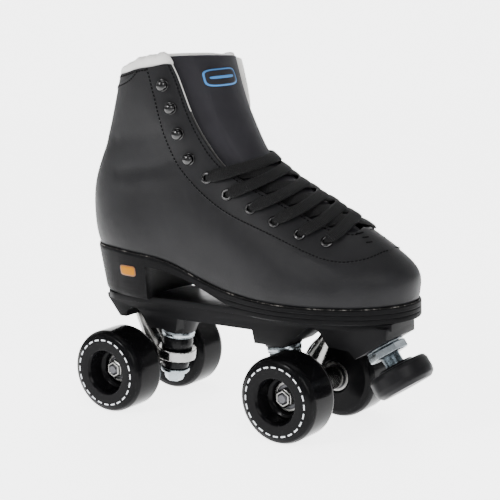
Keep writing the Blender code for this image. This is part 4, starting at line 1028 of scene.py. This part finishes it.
def make_patch():
    """Plain woven tab near the tongue's top: a rounded bar with a border, and a stripe inside it."""
    turn = around(64)
    shape_u, shape_v = powered(turn, 0.45, 0.45)
    made = []
    for name, wide, tall, lift, material in (("tongue_tab", 14.5, 6.0, 0.55, PATCH_BLUE),
                                             ("tongue_tab_field", 13.3, 5.0, 0.8, TONGUE_LEATHER),
                                             ("tongue_tab_stripe", 10.5, 0.9, 1.0, PATCH_BLUE)):
        size = np.array([0, 0.4, 0.8, 1.0, 1.0])[:, None]
        rise = np.array([lift, lift, lift, lift - 0.06, -0.3])[:, None]
        grid = tongue_spot(TAB_PLACE[0] + shape_u * wide * size, TAB_PLACE[1] + shape_v * tall * size, rise)
        piece = weld(grid_object(name, grid, True))
        made.append(finish(piece, "skate", "tongue_padding", material))
    return made


# ---------------------------------------------------------------- sole and insole
WELT = 1.6
ARCH_LINE = [(-50, 110.5), (-40, 109.8), (-28, 107.8), (-12, 103.6), (4, 98.2), (18, 93.2), (32, 89.2),
             (46, 86.5), (56, 84.4)]
BREAST_X = -50.0
BREAST_HOLLOW = 7.0
HEEL_TAPER = 5.0
HEEL_START, HEEL_FADE = -30, 50    # the taper grows backwards from here, over this length
ARCH_FOOT, ARCH_ZERO, ARCH_HALF = 82.0, 85.3, 71
HEEL_TAB_X, HEEL_TAB_Z = -67.5, 105.6


def level_normal(place, side):
    """Outward normals just over the sole line, laid level."""
    normal = last_normal(place, 0.0 * place + 1.0, side)
    normal[:, 2] = 0
    return unit(normal)


def outline(side, grow, columns=150):
    """Sole line's outline on one side from toe to back, grown outwards level by millimetres."""
    place = np.linspace(1, 0, columns + 1)
    edge = last(place, 0.0 * place, side)
    return edge + level_normal(place, side) * np.asarray(grow)[..., None] * MM


def filled(name, rings):
    """Closed body through stacked rings, its ends crossed by strips from side to side."""
    rows, columns = rings.shape[:2]
    faces = grid_quads(rows, columns, True).tolist()
    half = columns // 2
    for start, turned in ((0, False), ((rows - 1) * columns, True)):
        for j in range(half):
            quad = [start + i for i in (j, j + 1, columns - j - 1, (columns - j) % columns)]
            quad = list(dict.fromkeys(quad))
            faces.append(quad[::-1] if turned else quad)
    return weld(mesh_object(name, rings, faces))


def make_sole():
    """Side wall tapered at the heel and grooved along the forefoot, with the arch cut out across it."""
    share = np.concatenate([[0, 0.03, 0.07], np.linspace(0.12, 0.94, 34), [0.965, 0.985, 1.0, 1.0]])
    bevel = np.concatenate([[1.0, 0.45, 0.12], np.zeros(34), [0.15, 0.5, 0.9, 1.6]])
    rings = []
    for s, inset in zip(share, bevel):
        halves = []
        for side in SIDES:
            edge = outline(side, WELT)
            local = (edge[:, 0] - MID_X) / MM
            heel = np.clip((HEEL_START - local) / HEEL_FADE, 0, 1)
            fore = np.clip((local - 5) / 25, 0, 1)
            groove = sum(np.exp(-((s - at) / 0.035) ** 2) for at in (0.36, 0.66))
            taken = outline(side, WELT - heel * HEEL_TAPER * (1 - s) - inset - 0.4 * groove * fore)
            top = sole_line(edge[:, 0]) - 0.4 * MM
            taken[:, 2] = SOLE_FOOT + (top - SOLE_FOOT) * s
            halves.append(taken[None])
        rings.append(both_sides(*halves)[0])
    sole = filled("sole_unit", np.array(rings))
    across = np.linspace(-1, 1, 41)[:, None] * ARCH_HALF
    line = smooth(numbered(ARCH_LINE), np.linspace(0, len(ARCH_LINE) - 1, 40))
    x = np.concatenate([line[:, 0], [ARCH_LINE[-1][0], BREAST_X]])
    z = np.concatenate([line[:, 1], [ARCH_FOOT, ARCH_FOOT]])
    hollow = BREAST_HOLLOW * np.clip(1 - (across / 30.4) ** 2, 0, 1)
    fade = np.zeros(len(x))
    fade[[0, -1]] = 1
    points = np.stack([(x - hollow * fade) * MM + MID_X, (across + 0 * x) * MM,
                       (z + 0 * across) * MM + SOLE_FOOT - ARCH_ZERO * MM], -1)
    rows, columns = points.shape[:2]
    faces = grid_quads(rows, columns, True).tolist()
    faces += [list(range(columns))[::-1], [(rows - 1) * columns + j for j in range(columns)]]
    arch = weld(mesh_object("arch_cutter", points, faces))
    cut = sole.modifiers.new("arch", "BOOLEAN")
    cut.operation = "DIFFERENCE"
    cut.object = arch
    apply_modifiers(sole)
    bpy.data.objects.remove(arch)
    return finish(sharp(sole, 32), "skate", "sole_rubber", SOLE, "sole_unit")


def make_cement():
    """Thin line of cement in the feather between upper and sole."""
    halves = []
    turn = around(8)
    for side in SIDES:
        edge = outline(side, 0.55, 260)
        normal = unit(outline(side, 1.55, 260) - edge)
        edge[:, 2] = sole_line(edge[:, 0]) - 0.15 * MM
        ring = edge + (normal * np.cos(turn)[:, None, None] * 0.55 + np.array([0, 0, 0.42])
                       * np.sin(turn)[:, None, None]) * MM
        halves.append(ring)
    points = both_sides(*halves)
    points = np.concatenate([points, points[:1]])
    made = weld(grid_object("feather_cement", points, True))
    return finish(made, "skate", "sole_rubber", CEMENT)


def make_heel_tab():
    """Small plain rounded rectangle on the heel's outer face, with a darker rim."""
    turn = around(64)
    u, v = powered(turn, 0.4, 0.4)
    made = []
    for name, wide, tall, lift, material in (("heel_tab_rim", 8.0, 4.0, 0.35, TAB_RIM),
                                             ("heel_tab", 7.2, 3.2, 0.5, HEEL_TAB)):
        size = np.array([0, 0.5, 0.94, 1.0, 1.0])[:, None]
        rise = np.array([lift, lift, lift, lift - 0.12, -0.6])[:, None]
        x = HEEL_TAB_X + u * wide * size
        z = HEEL_TAB_Z + v * tall * size
        tab = weld(grid_object(name, heel_wall(x, z, rise), True))
        made.append(finish(tab, "skate", "sole_rubber", material))
    return made


def heel_wall(x, z, lift):
    """Point on the heel's outer wall at x and z, in millimetres from the axles' middle and the floor."""
    place = np.linspace(0.02, 0.45, 200)
    edge = last(place, 0 * place, -1)
    normal = level_normal(place, -1)
    local = (edge[:, 0] - MID_X) / MM
    at = np.interp(x, local, place)
    base, out = read(at, place, edge), read(at, place, normal)
    top = sole_line(base[..., 0])
    s = (z * MM - SOLE_FOOT) / (top - SOLE_FOOT)
    heel = np.clip((HEEL_START - x) / HEEL_FADE, 0, 1)
    grow = WELT - heel * HEEL_TAPER * (1 - s) + lift
    points = base + out * grow[..., None] * MM
    points[..., 2] = z * MM
    return points


def make_insole():
    """Flat foot bed that follows the sole line, with an edge a little drawn in."""
    rings = []
    for lift, inset in ((0, 4.4), (0.6, 4.2), (2.6, 4.2), (3.0, 4.8)):
        halves = []
        for side in SIDES:
            edge = outline(side, -inset, 90)
            edge[:, 2] = sole_line(edge[:, 0]) + lift * MM
            halves.append(edge[None])
        rings.append(both_sides(*halves)[0])
    return finish(sharp(filled("insole", np.array(rings)), 40), "skate", "insole_felt", INSOLE_FELT, "insole")


# ---------------------------------------------------------------- eyelets, hooks and lace
LACE_WIDTH = 9.4
LACE_HALF_THICK = 0.85
HOLE_HALF_WIDTH, HOLE_HALF_THICK = 2.1, 1.5    # the lace bunched in an eyelet
PROFILE_POWERS = 0.62, 0.8


def fitting_frame(place, height, side, lift=0.0):
    """Matrix of a fitting on the boot: Z out of the skin."""
    point = Vector(lifted(place, height, side, lift))
    normal = Vector(last_normal(np.array([place]), np.array([height]), side)[0])
    return Matrix.Translation(point) @ normal.to_track_quat("Z", "Y").to_matrix().to_4x4()


def make_eyelets():
    """Rolled rings through the leather, each with a near-black disc behind its hole as painted shade in the
    hole.
    """
    rings, hole_shades, names = [], [], []
    profile = [(2.35, -3.6), (2.35, 1.9, 1.2), (3.1, 2.35, 0.7), (4.1, 2.0, 0.7), (4.5, 1.0, 0.3), (4.4, 0.4),
               (2.9, 0.3), (2.9, -3.6), (2.35, -3.6)]
    for side, word in SIDES.items():
        for number, spot in enumerate(EYELETS):
            place = fitting_frame(*spot, side)
            rings.append(lathe("ring", profile, place, 36))
            # dark disc behind the hole: painted shade
            hole_shades.append(lathe("back", [(0.0, -3.0), (2.5, -3.0), (2.5, -3.7), (0.0, -3.7)], place, 24))
            names.append(f"eyelet_{word}_{number + 1}")
    finish(joined("eyelets", rings), "skate", "black_gloss_metal", BLACK_METAL, *names)
    return finish(joined("eyelet_shadows", hole_shades), "skate", "black_gloss_metal", PAINTED_HOLE_SHADE)


def make_hooks():
    """Lace hooks: a round foot, a waist and a domed head."""
    pieces, names = [], []
    profile = [(0.0, 6.1), (1.6, 5.9), (3.0, 5.2, 1.6), (3.9, 4.1, 1.2), (3.9, 3.5, 0.5), (2.3, 3.1, 0.5),
               (1.9, 2.4, 0.4), (2.4, 1.9, 0.5), (4.3, 1.7, 0.4), (4.6, 1.0, 0.3), (4.5, 0.3), (0.0, 0.3)]
    for side, word in SIDES.items():
        for number, spot in enumerate(HOOKS):
            pieces.append(lathe("hook", profile, fitting_frame(*spot, side), 40))
            names.append(f"hook_{word}_{number + 1}")
    return finish(joined("lace_hooks", pieces), "skate", "black_gloss_metal", BLACK_METAL, *names)


def strand(name, start, start_side, end, over):
    """One run of flat lace from an eyelet, over the near edge of the throat and under or over the far one.

    Knots run by share of the way across: the lift over the skin rises out of the hole, arches over the edge,
    crosses the tongue, and for a tucked end sinks between tongue and facing. A cubic joins them.
    """
    near, far = 1 - start[0], -(1 - end[0])
    near_edge = 1 - float(throat_place(start[1]))
    far_edge = -(1 - float(throat_place(end[1])))
    total = near - far
    s_near, s_far = (near - near_edge) / total, (near - far_edge) / total
    high = 3.4 if over else 1.7
    track = np.array([(0, -3.0), (0.001, 0.6), (0.05, 2.7), (s_near * 0.55, 3.5), (s_near, 3.5), (0.5, high),
                      (s_far - 0.09, 0.6 if over else 0.2), (s_far, -3.2), (s_far + 0.06, -4.1),
                      (0.93, -4.2)])
    across = near - total * track[:, 0]
    height = start[1] + (end[1] - start[1]) * track[:, 0]
    sag = 5.5 * np.sin(np.pi * track[:, 0]) ** 0.8 + 2.5 * track[:, 0]
    sides = np.where(across > 0, start_side, -start_side)
    spots = np.array([lifted(1 - abs(a), h + d, s, lift) for a, h, d, s, lift in
                      zip(across, height, sag, sides, track[:, 1])])
    step = np.linalg.norm(np.diff(spots, axis=0), axis=1)
    at = np.concatenate([[0], np.cumsum(np.sqrt(step))])
    path = smooth(np.column_stack([at, spots]), np.linspace(0, at[-1], 500))
    run = run_of(path)
    even = np.linspace(0, run[-1], 110)
    path = read(even, run, path)
    tangent = unit(np.gradient(path, axis=0))
    chord = path[-1] - path[0]
    side_share = (even / even[-1])[:, None]
    up_start = last_normal(np.array([start[0]]), np.array([start[1]]), start_side)[0]
    up_end = last_normal(np.array([end[0]]), np.array([end[1]]), -start_side)[0]
    up_mid = last_normal(np.array([1.0]), np.array([(start[1] + end[1]) / 2]), start_side)[0]
    up = (up_start * np.clip(1 - 2 * side_share, 0, 1) + up_end * np.clip(2 * side_share - 1, 0, 1)
          + up_mid * (1 - np.abs(2 * side_share - 1)))
    flat_run = np.gradient(path, axis=0) - up * (np.gradient(path, axis=0) * up).sum(1)[:, None]
    flat_run = flat_run + chord * 1e-4
    wide = unit(np.cross(up, flat_run))
    kernel = np.ones(15) / 15
    wide = np.stack([np.convolve(np.pad(wide[:, i], 7, mode="edge"), kernel, "valid") for i in range(3)], -1)
    wide = unit(wide - tangent * (wide * tangent).sum(1)[:, None])
    thick = np.cross(tangent, wide)
    squeeze = ease(np.clip((even / MM - 2.5) / 8, 0, 1))
    half = (HOLE_HALF_WIDTH + (LACE_WIDTH / 2 - HOLE_HALF_WIDTH) * squeeze)[:, None]
    deep = (HOLE_HALF_THICK + (LACE_HALF_THICK - HOLE_HALF_THICK) * squeeze)[:, None]
    turn = around(32)
    cu, cv = powered(turn, *PROFILE_POWERS)
    cup = 0.25 * (np.cos(turn) ** 2) * squeeze[:, None]
    grid = (path[:, None] + wide[:, None] * (cu * half)[..., None] * MM
            + thick[:, None] * (cv * deep - cup)[..., None] * MM)
    made = grid_object(name, grid, True)
    uv = np.stack(np.broadcast_arrays(even[:, None], (cu * half) * MM), -1)
    add_uv(made, uv)
    return face_outwards(made, fill=True)


def make_lace():
    """Crossings out of each eyelet and under the far facing to the next one up, and one run straight across
    the top pair, its end tucked in."""
    pieces = []
    for number in range(1, len(EYELETS)):
        start, end = EYELETS[number], EYELETS[number - 1]
        pieces.append(strand(f"over_{number}", start, -1, end, True))
        pieces.append(strand(f"under_{number}", start, 1, end, False))
    top = EYELETS[0]
    pieces.append(strand("last", top, -1, (top[0], top[1] + 4), True))
    return finish(joined("lace", pieces), "skate", "black_cord", LACE, "lace")


# ---------------------------------------------------------------- plate
def make_plate():
    """The CAD plate with its edges rounded."""
    plate = merged_copy("plate", "plate")
    round_edges(plate, 28)
    return finish(sharp(plate, 28), "skate", "black_nylon", NYLON, "plate")


# ---------------------------------------------------------------- trucks
KINGPIN_REACH, KINGPIN_LEAN, HOUSING_FOOT = 28.6, math.radians(9), 26.0
KINGPIN_BORE = 5.0


def end_word(front):
    """Name of the skate's end, as in the CAD nodes."""
    return "front" if front else "rear"


def truck_frame(front):
    """Matrix of a truck: X inboard from its axle, the origin on the axle's middle."""
    centre = FRONT_AXLE if front else REAR_AXLE
    return Matrix.Translation(centre) @ Matrix.Rotation(math.pi if front else 0, 4, "Z")


def kingpin_frame():
    """Within a truck: Z up the kingpin, the origin at the foot of its housing."""
    place = Matrix.Translation((KINGPIN_REACH * MM, 0, HOUSING_FOOT * MM))
    return place @ Matrix.Rotation(KINGPIN_LEAN, 4, "Y")


def make_hanger(word):
    """Casting softened from the CAD's: voxels at half a millimetre, smoothed so that its corners flow."""
    hanger = merged_copy(f"hanger_{word}", f"truck_{word}")
    voxels = hanger.modifiers.new("voxels", "REMESH")
    voxels.mode = "VOXEL"
    voxels.voxel_size = 0.55 * MM
    soft = hanger.modifiers.new("soft", "SMOOTH")
    soft.factor = 0.5
    soft.iterations = 7
    apply_modifiers(hanger)
    hanger.data.shade_smooth()
    return finish(hanger, "skate", "polished_aluminium", CAST, f"hanger_{word}")


def make_kingpin(front):
    """Cup, two cushions and retainer round a bolt with a six-sided head."""
    word = end_word(front)
    place = truck_frame(front) @ kingpin_frame()
    parts = (("cup", "kingpin_cup", "bright_zinc", ZINC,
              [(12.3, -0.3, 0.6), (12.7, -2.2, 0.5), (12.2, -4.0, 0.4), (12.6, -4.5, 0.3),
               (12.2, -4.9, 0.2)]),
             ("upper_cushion", "cushion_upper", "cushion_rubber", CUSHION,
              [(11.4, -5.2, 0.8), (12.2, -9.8, 6), (11.6, -14.5, 0.8)]),
             ("lower_cushion", "cushion_lower", "cushion_rubber", CUSHION,
              [(10.3, -23.1, 0.8), (10.6, -26.6, 5), (10.0, -30.3, 0.8)]),
             ("retainer", "kingpin_washer", "bright_zinc", ZINC,
              [(11.0, -30.6, 0.5), (11.2, -32.6, 0.7), (10.2, -34.2, 0.5)]))
    for name, node, slot, material, outer in parts:
        made = lathe(f"{name}_{word}", sleeve(KINGPIN_BORE, outer), place)
        finish(made, "skate", slot, material, f"{node}_{word}")
    shank = lathe(f"kingpin_{word}", [(0.0, 13.0), (4.5, 13.0), (4.5, -34.4), (0.0, -34.4)], place, 32)
    head = [(0.0, -34.5), (6.4, -34.5, 0.3), (6.5, -38.4, 0.6), (5.5, -41.3, 1.2), (0.0, -41.5)]
    bolt = joined(f"kingpin_bolt_{word}", [shank, lathe(f"head_{word}", head, place, 60, hexagon)])
    return finish(bolt, "skate", "bright_zinc", ZINC, f"kingpin_{word}")


# ---------------------------------------------------------------- wheels
WHEEL_INNER, WHEEL_OUTER, WHEEL_RADIUS = 21.7, 53.9, 31.0
PRINT_RADIUS, PRINT_WIDE, PRINT_DASHES = 24.6, 1.0, 24
DASH_SHARE = 0.3           # half a dash over the pitch
BEARING_WIDE = 7


def wheel_frame(front, side):
    """Z out along the axle on that side, X forwards, the origin on the skate's middle plane."""
    centre = FRONT_AXLE if front else REAR_AXLE
    outwards = Vector((0, side, 0))
    forwards = Vector((1, 0, 0))
    turned = Matrix((forwards, outwards.cross(forwards), outwards)).transposed().to_4x4()
    return Matrix.Translation(centre) @ turned


def arc_ribbon(start, end, radius, width, height, steps):
    """Raised ribbon on the wheel's face along an arc, its angles in degrees."""
    turn = np.radians(np.linspace(start, end, steps))
    section = np.array([(-0.5, -0.12), (-0.5, 0.08), (0.5, 0.08), (0.5, -0.12)])
    r = np.full(steps, radius)[:, None] + section[:, 0] * width
    points = np.stack([r * np.cos(turn)[:, None], r * np.sin(turn)[:, None],
                       height + section[:, 1] + 0 * r], -1) * MM
    ribbon = face_outwards(grid_object("print", points, True), fill=True)
    ribbon.data.shade_flat()
    return ribbon


def make_print(name, place):
    """Plain ring of even dashes on the wheel's face, the same all the way round."""
    step = 360 / PRINT_DASHES
    pieces = [arc_ribbon((i - DASH_SHARE) * step, (i + DASH_SHARE) * step, PRINT_RADIUS, PRINT_WIDE,
                         WHEEL_OUTER, 8) for i in range(PRINT_DASHES)]
    made = joined(name, pieces)
    made.data.transform(place)
    return made


def make_wheel(front, side):
    """Urethane wheel with its two bearings, and the nut that stays on the truck."""
    word = f"{end_word(front)}_{SIDES[side]}"
    body = f"{word}_wheel"
    place = wheel_frame(front, side)
    outer, inner = WHEEL_OUTER, WHEEL_INNER
    bearing_in, bearing_out = inner + 0.6, inner + 0.6 + BEARING_WIDE + 1.6
    face = bearing_out + BEARING_WIDE
    tyre = [(12.0, face + 0.3), (11.3, face + 1.2, 0.6), (12.4, face + 2.2, 0.6), (14.6, face + 3.2, 1.2),
            (15.6, outer - 2.0, 1.6), (16.9, outer, 0.9), (25.4, outer, 3.0), (29.3, outer - 1.6, 3.4),
            (WHEEL_RADIUS, outer - 5.4, 5.0), (WHEEL_RADIUS, inner + 5.4, 5.0), (29.3, inner + 1.6, 3.4),
            (25.6, inner, 3.0), (12.4, inner, 0.8), (11.3, inner + 0.5), (11.3, bearing_in + 7.3),
            (9.0, bearing_in + 7.3), (9.0, bearing_out - 0.3), (11.3, bearing_out - 0.3),
            (11.3, face + 0.3), (12.0, face + 0.3)]
    wheel = lathe(f"wheel_{word}", tyre, place, 128)
    finish(wheel, body, "black_urethane", URETHANE, f"wheel_{word}")
    finish(make_print(f"wheel_print_{word}", place), body, "black_urethane", PRINT)
    for name, low in (("inner", bearing_in), ("outer", bearing_out)):
        high = low + BEARING_WIDE
        ring = [(8.9, low + 0.4), (9.2, low, 0.2), (10.9, low, 0.4), (10.9, high, 0.4), (9.2, high, 0.2),
                (8.9, high - 0.4), (8.9, low + 0.4)]
        race = [(4.3, low, 0.3), (6.0, low, 0.3), (6.3, low + 0.4), (6.3, high - 0.4), (6.0, high, 0.3),
                (4.3, high, 0.3), (4.3, low + 0.3)]
        shield = [(6.4, low + 0.7), (8.8, low + 0.7), (8.8, high - 0.7), (6.4, high - 0.7), (6.4, low + 0.7)]
        bearing = f"bearing_{name}_{word}"
        rings = [lathe("ring", ring, place, 48), lathe("race", race, place, 48)]
        finish(joined(bearing, rings), body, "bearing_steel", STEEL, bearing)
        finish(lathe(f"shield_{name}_{word}", shield, place, 48), body, "bearing_steel", DARK_STEEL)
    nut_foot = face + 0.3
    nut = [(3.9, nut_foot), (6.4, nut_foot, 0.4), (6.5, nut_foot + 4.4, 0.9), (5.6, nut_foot + 4.9, 0.5),
           (5.2, nut_foot + 6.2, 0.6), (4.2, nut_foot + 6.3, 0.3), (3.9, nut_foot + 5.4), (3.9, nut_foot)]

    def nut_shape(turn):
        """Hexagon with its corners taken down a little."""
        return 1 + (hexagon(turn) - 1) * 0.8

    made = lathe(f"axle_nut_{word}", nut, place, 72, nut_shape)
    return finish(made, "skate", "bright_zinc", STEEL, f"axle_nut_{word}")


def make_axle(front):
    """Axle with a thread at each end: the radius goes in and out once a millimetre."""
    word = end_word(front)
    half = 45.4
    count = 9
    thread = []
    for i in range(count):
        at = half - 1.0 - i * 1.0
        thread += [(3.9, at), (3.5, at - 0.5)]
    side = [(0.0, half), (2.9, half, 0.2), (3.6, half - 0.8), *thread, (4.0, half - 1.2 - count), (4.0, 0.0)]
    mirrored = [(r, -z, *rest) for r, z, *rest in reversed(side[:-1])]
    return finish(lathe(f"axle_{word}", side + mirrored, wheel_frame(front, 1), 36), "skate", "bright_zinc",
                  DARK_STEEL, f"axle_{word}")


# ---------------------------------------------------------------- toe stop
def stop_frame():
    """Z up the stem and leaning forwards at its foot, the origin where it leaves the plate."""
    return (Matrix.Translation((MID_X + 133.0 * MM, 0, AXLE_Z + 35.5 * MM))
            @ Matrix.Rotation(-math.radians(33.4), 4, "Y"))


def make_toe_stop():
    """Rubber stop on a threaded stem, with the washer and jam nut under the plate."""
    place = stop_frame()
    top, foot, radius = -17.0, -33.5, 22.3
    rubber = [(7.3, top - 6.0), (7.3, top + 1.4, 0.4), (11.8, top + 1.6, 1.0), (13.4, top, 1.2),
              (20.6, top - 0.4, 2.4), (radius - 0.2, top - 3.6, 2.0), (radius, top - 10.5, 3.0),
              (21.6, foot + 2.6, 2.6), (18.4, foot, 1.8), (0.0, foot)]
    stop = lathe("toe_stop", [(0.0, top - 6.0)] + rubber, place, 128)
    finish(stop, "skate", "stop_rubber", STOP_RUBBER, "toe_stop")
    thread = []
    for i in range(20):
        at = -2.0 - i * 0.75
        thread += [(6.9, at), (6.45, at - 0.38)]
    stem = [(0.0, 8.8), (6.9, 8.8), (6.9, -1.5)] + thread + [(6.9, -17.2), (6.9, top - 5.7), (0.0, top - 5.7)]
    finish(lathe("toe_stop_stem", stem, place, 48), "skate", "bright_zinc", ZINC, "toe_stop_stem")
    washer = [(7.4, -0.3), (13.8, -0.3, 0.2), (14.0, -1.4, 0.2), (7.4, -1.5), (7.4, -0.3)]
    finish(lathe("toe_stop_washer", washer, place, 64), "skate", "bright_zinc", ZINC, "toe_stop_washer")
    nut = sleeve(7.4, [(11.4, -1.8, 0.5), (12.5, -2.7, 0.6), (12.5, -7.4, 0.6), (11.4, -8.3, 0.5)])
    made = lathe("toe_stop_nut", nut, place, 96, hexagon)
    return finish(made, "skate", "bright_zinc", ZINC, "toe_stop_nut")


# ---------------------------------------------------------------- the whole skate
def main():
    """Builds the studio and the skate."""
    make_camera()
    make_studio()
    make_upper()
    make_stay()
    make_lining(LIP_COLUMN, ALL_COLUMNS, "collar_lining", LINING)
    # the lining down the throat in the darker copy of the felt: painted shade
    make_lining(2.5, LIP_COLUMN, "throat_lining_painted_shade", SHADED_THROAT_FELT)
    make_far_roll()
    make_stitches()
    make_seams()
    make_tongue()
    make_patch()
    make_sole()
    make_cement()
    make_heel_tab()
    make_insole()
    make_eyelets()
    make_hooks()
    make_lace()
    make_plate()
    for front in (False, True):
        make_hanger(end_word(front))
        make_kingpin(front)
        make_axle(front)
        for side in SIDES:
            make_wheel(front, side)
    make_toe_stop()


main()
